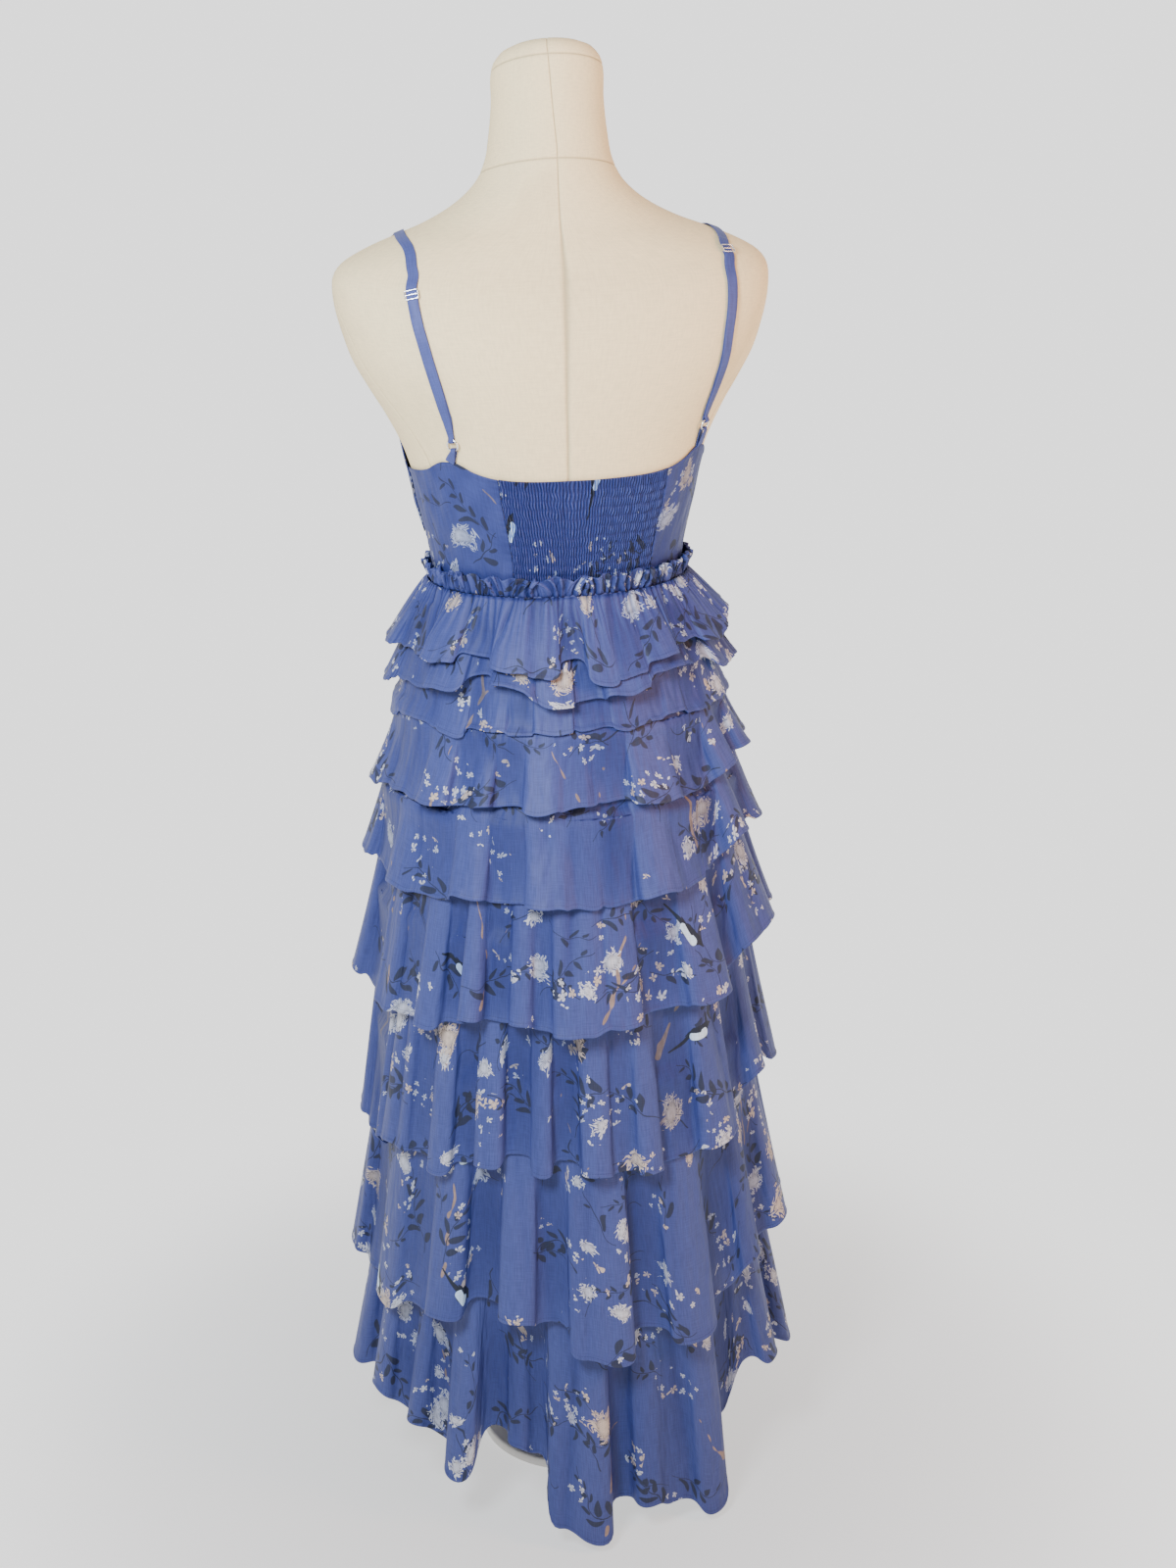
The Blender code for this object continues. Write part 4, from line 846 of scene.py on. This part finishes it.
def makeHeading():
    # The gathered edge above the waist seam: close loops that lean to and fro, fading into the seam.
    chance = np.random.default_rng(81)
    u = np.arange(heading["columns"])[None, :] / heading["columns"]
    v = np.linspace(0, 1, heading["rows"])[:, None]
    phase = 2 * math.pi * heading["waves"] * u + 1.9 * waves(chance, u, 14, 46, 8)
    phase = phase + 1.5 * waves(chance, u, 10, 30, 6, v, 0.6)
    loop = np.abs(np.sin(phase / 2)) ** 0.8
    strong = np.clip(0.85 + 0.40 * waves(chance, u, 20, 60, 6), 0.25, 1.5)
    fine = waves(chance, u, 140, 190, 4, v, 0.6)
    lean = 2.2 * waves(chance, u, 9, 26, 6)
    turn = 360.0 * u + v * 1.1 * strong * np.sin(phase) + v * v * lean
    height = -0.0020 + v * (heading["height"] + 0.0024 + 0.0022 * waves(chance, u, 18, 60, 6))
    height = height - 0.0012 * v * v * loop - 0.0012 * (1 - v) ** 4 * loop * strong
    swing = heading["swing"] * loop * strong * (0.35 + 0.65 * np.sin(math.pi * 0.62 * v) ** 0.8)
    cadCloth = dress["cadCloth"]
    out = dress["bodyGap"] + 1.25 * cadCloth + (heading["gap"] + 0.75 * cadCloth) * np.minimum(1, 7 * v)
    out = out + heading["flare"] * v + swing * np.minimum(1, v * 6 + 0.45) + 0.0016 * np.exp(-(v / 0.10) ** 2)
    out = out + 0.0005 * fine * np.minimum(1, v * 4)
    # Painted shade: darker between the loops and towards the seam below.
    shown = np.clip(0.22 + 0.95 * loop, 0.2, 1.0) * (0.8 + 0.2 * v)
    outer = bodyPoint(turn, height, out)
    uv = clothUv(outer, True, along=heading["rows"] - 1)
    uv[..., 1] -= uv[-1:, :, 1]
    material = makeCloth("heading cloth", (0.11, 0.95), hems=(-0.0025,), shaded=True)
    thing = shell("waistHeading", outer, 0.0008, True, uv, material)
    addShade(thing, shown)
    flat = (float(uv[..., 0].max()), float(-uv[0, :, 1].mean()))
    sew(thing, "waist_heading", flat, "gathered", "back_smocked", "front_midriff")


makeHeading()
print("heading done")


strap = {"width": 0.01, "thickness": 0.0009, "widthAtRing": 0.0046, "under": 0.0014, "over": 0.003,
         "riseStart": 0.015, "riseLength": 0.01, "underStart": 0.09, "backShare": 0.55,
         "patches": {"left": ((0.3, 0.33), (0.37, 0.4)), "right": ((0.38, 0.4),)}}
ring = {"radius": 0.0052, "wire": 0.0008, "turnRadius": 0.0023, "height": 0.0037}
slider = {"halfWide": 0.006, "halfLong": 0.004, "wire": 0.0006}
# The straps' routes on the form, turn and height, from the front over the shoulder to the ring.
strapRoutes = {
    "left": ((-131, 0.2035), (-135, 0.24), (-136, 0.28), (-120, 0.3155), (-90, 0.3237),
             (-58, 0.3165), (-42, 0.3), (-38.6, 0.2786), (-37.8, 0.2166), (-41.5, 0.152)),
    "right": ((144, 0.2035), (147, 0.24), (143, 0.28), (122, 0.311), (90, 0.3188),
              (62, 0.311), (51, 0.299), (46, 0.28), (46.9, 0.2307), (53.5, 0.157)),
}
sliderHeights = {"left": 0.2786, "right": 0.303}
ringPlaces = {"left": (-42.0, 0.1445), "right": (55.0, 0.149)}
tabTurns = {"left": -46.5, "right": 59.5}


def routePoint(route, share):
    rows = [(step, *row) for step, row in enumerate(route)]
    at = np.asarray(share, float) * (len(route) - 1)
    return smoothRead(rows, 1, at), smoothRead(rows, 2, at)


def ringFrame(sideName):
    turn, height = ringPlaces[sideName]
    normal = bodyNormal(turn, height)
    centre = aboveBody(turn, height, ring["height"])
    end = strapRoutes[sideName][-1]
    up = aboveBody(end[0], end[1], ring["height"]) - centre
    return centre, normal, unit(up - normal * float(up @ normal))


def tape(name, centres, normals, widths, material, seed):
    # A flat tape with rounded edges carried along a path, faces swaying a little.
    centres, normals = np.array(centres), np.array(normals)
    chance = np.random.default_rng(seed)
    along = unit(np.gradient(centres, axis=0))
    across = unit(np.cross(along, normals))
    out = unit(np.cross(across, along))
    half = np.array(widths)[:, None] / 2
    thick = strap["thickness"] / 2
    profile = np.array(((-0.90, -1.0), (-0.45, -1.0), (0, -1.0), (0.45, -1.0), (0.90, -1.0), (1.0, -0.4), (1.0, 0.4),
                       (0.90, 1.0), (0.45, 0.94), (0, 0.90), (-0.45, 0.94), (-0.90, 1.0), (-1.0, 0.4), (-1.0, -0.4)))
    share = np.linspace(0, 1, len(centres))[:, None]
    sway = 0.00010 * waves(chance, share, 6, 18, 4)
    points = (centres[:, None] + across[:, None] * (half * profile[:, 0])[..., None]
              + out[:, None] * (profile[:, 1] * thick + sway)[..., None])
    count, sides = points.shape[:2]
    faces, i, j = gridFaces(count, sides)
    run = np.concatenate(([0.0], np.cumsum(np.linalg.norm(np.diff(centres, axis=0), axis=-1))))
    around = np.append(profile[:, 0], profile[0, 0]) * 0.005
    uvs = cellUv(np.stack(np.broadcast_arrays(around[None], run[:, None]), -1), i, j)
    caps = []
    for row, flip in ((0, False), (count - 1, True)):
        for corners in ((0, 1, 11, 12), (1, 2, 10, 11), (2, 3, 9, 10), (3, 4, 8, 9), (4, 5, 7, 8)):
            quad = [row * sides + k for k in corners]
            caps.append(quad[::-1] if flip else quad)
    uvs = np.concatenate((uvs, np.zeros((len(caps), 4, 2))))
    return makeMesh(name, points.reshape(-1, 3), np.concatenate((faces, np.array(caps))), material, uvs), float(run[-1])


def turnOver(wire, normal, up):
    # The tape's way round a ring's wire: half a circle from its outer side to its inner one.
    angle = np.radians(np.linspace(90, -90, 13))[:, None]
    around = normal * np.sin(angle) + up * np.cos(angle)
    return list(wire + around * ring["turnRadius"]), list(around)


def makeStraps(sideName, offset, seed):
    route, target = strapRoutes[sideName], sliderHeights[sideName]
    material = makeCloth("strap cloth " + sideName, offset, patches=strap["patches"][sideName])
    shares = np.linspace(0, 1, 150)
    turn, height = routePoint(route, shares)
    past = (shares > strap["backShare"]) & (height < target + strap["riseStart"])
    sliderShare = shares[past][0]
    rise = np.where(past, np.clip((target + strap["riseStart"] - height) / strap["riseLength"], 0, 1), 0.0)
    rise = rise * rise * (3 - 2 * rise)
    centres = list(aboveBody(turn, height, strap["under"] + (strap["over"] - strap["under"]) * rise))
    normals = list(bodyNormal(turn, height))
    ease = np.clip((np.arange(len(shares)) - len(shares) + 15) / 14, 0, 1)
    widths = list(strap["width"] + (strap["widthAtRing"] - strap["width"]) * ease ** 2 * 0.8)
    centre, normal, up = ringFrame(sideName)
    turned, facing = turnOver(centre + up * ring["radius"], normal, -up)
    centres, normals, widths = centres + turned, normals + facing, widths + [strap["widthAtRing"]] * 13
    backShares = np.linspace(1.0, sliderShare + strap["underStart"], 60)
    turn, height = routePoint(route, backShares)
    centres += list(aboveBody(turn, height, strap["under"]))
    normals += list(-bodyNormal(turn, height))
    widths += [strap["widthAtRing"] + (strap["width"] - strap["widthAtRing"]) * min(1.0, k / 9) for k in range(60)]
    thing, run = tape(sideName + "Strap", centres, normals, widths, material, seed)
    sew(thing, "strap_" + sideName, (strap["width"], run), "hung", "dress_form")

    wire = centre - up * ring["radius"]
    tabTurn, tabWidth, ringWidth = tabTurns[sideName], strap["width"] * 0.92, strap["widthAtRing"]
    edge = float(backEdge(tabTurn - dress["turn"])) + 0.0012
    face = bodyNormal(tabTurn, edge)
    outerFoot = aboveBody(tabTurn, edge, strap["under"] + 1.3 * strap["thickness"] + 0.0003)
    innerFoot = aboveBody(tabTurn, edge, strap["under"] - 0.0003)
    turned, facing = turnOver(wire, normal, up)
    t = np.arange(8)[:, None] / 8
    back = t + 1 / 8
    centres = list(outerFoot * (1 - t) + (wire + normal * ring["turnRadius"]) * t) + turned
    centres += list((wire - normal * ring["turnRadius"]) * (1 - back) + innerFoot * back)
    normals = list(face * (1 - t) + normal * t) + facing + list(-face * back - normal * (1 - back))
    widths = list(tabWidth + (ringWidth - tabWidth) * t[:, 0] ** 1.5) + [ringWidth] * 13
    widths += list(ringWidth + (tabWidth - ringWidth) * back[:, 0] ** 0.7)
    thing, run = tape(sideName + "Tab", centres, normals, widths, material, seed + 1)
    sew(thing, "strap_tab_" + sideName, (strap["width"], run), "hung", "strap_ring_" + sideName)

    angle = np.linspace(0, 2 * math.pi, 48, endpoint=False)[:, None]
    path = centre + ring["radius"] * (np.cos(angle) * up + np.sin(angle) * np.cross(up, normal))
    place(tube(sideName + "Ring", path, ring["wire"], 12, metal, normal), "strap_ring_" + sideName)

    fine = np.linspace(strap["backShare"], 1.0, 400)
    share = fine[np.argmin(np.abs(routePoint(route, fine)[1] - target))]
    turn, height = (float(value) for value in routePoint(route, share))
    later = [float(value) for value in routePoint(route, share + 0.02)]
    normal = bodyNormal(turn, height)
    lift = strap["over"] + strap["thickness"] + 0.0006
    centre = aboveBody(turn, height, lift)
    up = unit(centre - aboveBody(later[0], later[1], lift))
    up = unit(up - normal * float(up @ normal))
    across = np.cross(up, normal)
    corner, path = 0.0012, []
    for cornerX, cornerY, begin in ((1, 1, 0), (-1, 1, 90), (-1, -1, 180), (1, -1, 270)):
        for degrees in np.linspace(begin, begin + 90, 7):
            x = cornerX * (slider["halfWide"] - corner) + corner * math.cos(math.radians(degrees))
            y = cornerY * (slider["halfLong"] - corner) + corner * math.sin(math.radians(degrees))
            path.append(centre + across * x + up * y)
    frameWire = tube(sideName + "Slider", path, slider["wire"], 10, metal, normal)
    reach = slider["halfWide"] - 0.0005
    bar = [centre + across * x - normal * 0.0002 for x in np.linspace(-reach, reach, 9)]
    barWire = tube(sideName + "SliderBar", bar, slider["wire"], 10, metal, normal, closed=False)
    place(frameWire, "strap_slider_" + sideName)
    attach(barWire, "root")


makeStraps("left", (0.033, 0.245), 91)
makeStraps("right", (0.533, 0.645), 95)
print("straps done")


form = {"seamDepth": 0.0011, "columnStep": 2.0, "rows": 210}
# The form's side seam, height and turn.
sideSeamRows = ((-0.25, 80.0), (0.05, 70.0), (0.12, 61.0), (0.163, 66.0), (0.2, 71.0), (0.24, 76.0), (0.275, 84.0),
                (0.33, 90.0))


def makeForm():
    # The form's skin with its sewn lines pressed in: middle back and front, sides, neck base and cap.
    middles = [0.0, 180.0]
    turns = list(np.arange(0, 360, form["columnStep"]))
    for middle in middles + [90.0, 270.0]:
        turns = [turn for turn in turns if abs(turnApart(turn, middle)) > 1.6]
        turns += [(middle + away) % 360 for away in (-1.5, -0.9, -0.5, -0.25, 0, 0.25, 0.5, 0.9, 1.5)]
    base = np.array(sorted(turns))[None, :]
    heights = list(np.linspace(formRows[0][0], formRows[-1][0], form["rows"]))
    for middle in (0.391, 0.463):
        heights = [height for height in heights if abs(height - middle) > 0.0024]
        heights += [middle + away for away in (-0.0022, -0.0013, -0.0007, 0, 0.0007, 0.0013, 0.0022)]
    row = np.array(sorted(heights))[:, None]
    height = row - 0.0155 * (1 - np.cos(np.radians(base))) * np.exp(-((row - 0.391) / 0.018) ** 2)
    lean = -1.0 * np.clip((0.30 - row) / 0.12, 0, 1) - 8.0 * np.clip((row - 0.40) / 0.07, 0, 1)
    turn = base + lean * np.exp(-(turnApart(base, 0) / 30) ** 2)
    sideTurn = smoothRead(sideSeamRows, 1, row) - 90.0
    nearLeft, nearRight = (np.exp(-(turnApart(base, side) / 25) ** 2) for side in (90, 270))
    turn = turn + sideTurn * nearLeft - sideTurn * nearRight
    press = 0.0
    for middle in (0.0, 180.0, 90.0, 270.0):
        low = 1.0 if middle in (0.0, 180.0) else 1.0 / (1.0 + np.exp((row - 0.31) / 0.004))
        press = np.maximum(press, np.exp(-(turnApart(base, middle) / 0.42) ** 2) * low)
    for middle in (0.391, 0.463):
        press = np.maximum(press, np.exp(-((row - middle) / 0.0007) ** 2) + 0 * base)
    points = aboveBody(turn, height, -form["seamDepth"] * press)
    rows, columns = points.shape[:2]
    foot, crown = points[0].mean(0), points[-1].mean(0)
    faces, i, j = gridFaces(rows, columns)
    across = np.append(base[0], base[0, 0] + 360.0) / 57.3 * 0.12
    uvs = cellUv(np.stack(np.broadcast_arrays(across[None], row), -1), i, j)
    allPoints = [points.reshape(-1, 3)]
    extra, count = [], rows * columns
    for edgeRow, middle, rise in ((0, foot, 0.0), (rows - 1, crown, 0.0035)):
        before = edgeRow * columns
        for share in (0.75, 0.5, 0.25, 0.02):
            allPoints.append(middle + (points[edgeRow] - middle) * share + np.array((0, 0, rise * (1 - share * share))))
            j = np.arange(columns)
            nextJ = (j + 1) % columns
            quad = np.stack((before + j, before + nextJ, count + nextJ, count + j), 1)
            extra.append(quad if edgeRow else quad[:, ::-1])
            before, count = count, count + columns
    extra = np.concatenate(extra)
    allPoints = np.concatenate(allPoints)
    uvs = np.concatenate((uvs, allPoints[extra][..., :2]))
    thing = makeMesh("formSkin", allPoints, np.concatenate((faces, extra)), linen, uvs)
    # Painted shade: darker along the pressed-in seam lines.
    addShade(thing, 1 - 0.42 * press)
    return thing


place(makeForm(), "dress_form")


stand = {"baseRadius": 0.1, "baseThickness": 0.012, "poleRadius": 0.0125}


def lathe(name, profile, columns, material):
    # A round solid from (radius, height) pairs, bottom first.
    profile = np.array(profile)
    angle = np.arange(columns) * 2 * math.pi / columns
    points = np.stack((profile[:, :1] * np.cos(angle), profile[:, :1] * np.sin(angle), profile[:, 1:] + 0 * angle), -1)
    return makeMesh(name, points.reshape(-1, 3), gridFaces(len(profile), columns)[0], material)


radius, thick, pole, near = stand["baseRadius"], stand["baseThickness"], stand["poleRadius"], 0.0005
edge = 0.003
rounded = [(radius - edge + edge * math.sin(angle), thick - edge + edge * math.cos(angle))
           for angle in np.linspace(math.pi / 2, 0, 7)]
profile = [(near, 0.0), (radius - 0.001, 0.0), (radius, 0.001)] + rounded + [(0.03, thick), (near, thick)]
place(lathe("standBase", profile, 128, paint), "stand_base")
high = dress["waistZ"] + formRows[0][0] - 0.0003
profile = [(near, thick + 0.0003), (0.021, thick + 0.0003), (0.021, thick + 0.010), (0.0195, thick + 0.0125),
           (pole, thick + 0.0125), (pole, 0.35), (pole, high), (near, high)]
place(lathe("standPole", profile, 64, paint), "stand_pole")

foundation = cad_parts["skirt_base"]
plainCloth = makeCloth("foundation cloth", (0.0, 0.0), plain=True)
for slot in foundation.material_slots:
    slot.material = plainCloth
print("form and stand done")


stage = {"glow": 1.85, "floorHalf": 14.0}


def makeStage():
    # A pale glowing floor that takes shadows only near the stand, where its glow is also dimmed as a painted shadow,
    # and a glowing wall in front of the dress that lights it and that the camera doesn't see, so every view has the
    # same pale ground.
    material, s, surface = newMaterial("pale floor")
    x, y, _ = s.split(s.node("TexCoord")["Object"])
    away = s.vector("LENGTH", s.join(x, y))
    matt = s.node("BsdfDiffuse", {"Color": (0.30, 0.30, 0.30)})[0]
    # Painted shadow: the floor's glow is dimmer towards the stand.
    shadowedGlow = s.node("Emission", {"Strength": s.smooth(away, 0.2, 1.1, 0.90, 1.70)})[0]
    farGlow = s.node("Emission", {"Strength": stage["glow"]})[0]
    both = s.node("AddShader", (shadowedGlow, matt))[0]
    s.put(surface, s.node("MixShader", (s.smooth(away, 0.45, 0.85), both, farGlow))[0])
    half = stage["floorHalf"]
    corners = np.array([(-half, -half, 0.0), (half, -half, 0.0), (half, half, 0.0), (-half, half, 0.0)])
    makeMesh("paleFloor", corners, [[0, 1, 2, 3]], material)
    profile = [(-1.6 - 1.0 * math.sin(a), 1.0 - math.cos(a)) for a in np.linspace(0.1, math.pi / 2, 16)] + [(-2.6, 6.0)]
    y, z = np.array(profile).T
    x = np.array((-7.0, 7.0))
    points = np.stack(np.broadcast_arrays(x[:, None], y[None], z[None]), -1)
    faces = gridFaces(2, len(profile), False)[0][:, ::-1]
    wallGlow, s, surface = newMaterial("wall glow")
    s.put(surface, s.node("Emission", {"Strength": stage["glow"]})[0])
    wall = makeMesh("glowingWall", points.reshape(-1, 3), faces, wallGlow)
    wall.visible_camera = False
    for glowing in (material, wallGlow):
        glowing.cycles.emission_sampling = "NONE"  # both are large and even, so light found by chance is clean


def addLight(name, spot, aim, size, power, colour):
    light = bpy.data.lights.new(name, "AREA")
    light.shape, light.size, light.size_y = "RECTANGLE", size[0], size[1]
    light.energy, light.color = power, colour
    thing = bpy.data.objects.new(name, light)
    bpy.context.scene.collection.objects.link(thing)
    setFrame(thing, spot, aim)
    return thing


def setFrame(thing, spot, aim, roll=0.0):
    # Looks from a place to an aim along its own -Z, with its +Y upward.
    back = unit(np.array(spot, float) - np.array(aim, float))
    right = unit(np.cross((0, 0, 1), back))
    up = np.cross(back, right)
    cosine, sine = math.cos(roll), math.sin(roll)
    right, up = right * cosine + up * sine, up * cosine - right * sine
    thing.matrix_world = Matrix([[right[k], up[k], back[k], spot[k]] for k in range(3)] + [[0, 0, 0, 1]])


makeStage()
# The photo's light: near and cool from its left, near and warm from its right, so both fade down the skirt.
addLight("coolLight", (0.70, 1.20, 1.80), (0, 0, 1.00), (0.40, 0.50), 46, (0.84, 0.90, 1.0))
addLight("warmLight", (-1.25, 0.95, 1.45), (0, 0, 0.95), (0.45, 0.70), 22, (1.0, 0.52, 0.28))
addLight("topLight", (0.1, 0.6, 3.0), (0, 0, 0.9), (0.8, 0.8), 8, (1.0, 0.96, 0.90))
world = bpy.data.worlds.new("room")
world.use_nodes = True
tree = world.node_tree
dim, pale = tree.nodes["Background"], tree.nodes.new("ShaderNodeBackground")
dim.inputs["Color"].default_value, dim.inputs["Strength"].default_value = (0.92, 0.95, 1.0, 1.0), 0.035
pale.inputs["Color"].default_value, pale.inputs["Strength"].default_value = (1.0, 1.0, 1.0, 1.0), stage["glow"]
eitherOne = tree.nodes.new("ShaderNodeMixShader")  # the pale one is what the camera sees behind the floor
seen = tree.nodes.new("ShaderNodeLightPath").outputs["Is Camera Ray"]
for target, source in enumerate((seen, dim.outputs[0], pale.outputs[0])):
    tree.links.new(source, eitherOne.inputs[target])
tree.links.new(eitherOne.outputs[0], tree.nodes["World Output"].inputs["Surface"])
world.cycles.sampling_method = "NONE"
bpy.context.scene.world = world

view = {"turn": 9.0, "away": 2.2, "rise": 0.6, "pitch": 20.5, "roll": 1.06, "lens": 53.775, "shift": 27 / 1600}
turn, pitch = math.radians(view["turn"]), math.radians(view["pitch"])
toward = np.array((math.sin(turn), math.cos(turn), 0.0))
eye = toward * view["away"] + np.array((0, 0, dress["waistZ"] + view["rise"]))
aim = eye - toward * math.cos(pitch) - np.array((0, 0, math.sin(pitch)))
camera = bpy.data.objects.new("camera", bpy.data.cameras.new("camera"))
bpy.context.scene.collection.objects.link(camera)
setFrame(camera, eye, aim, -math.radians(view["roll"]))
camera.data.sensor_width, camera.data.lens, camera.data.shift_x = 36.0, view["lens"], view["shift"]
bpy.context.scene.camera = camera
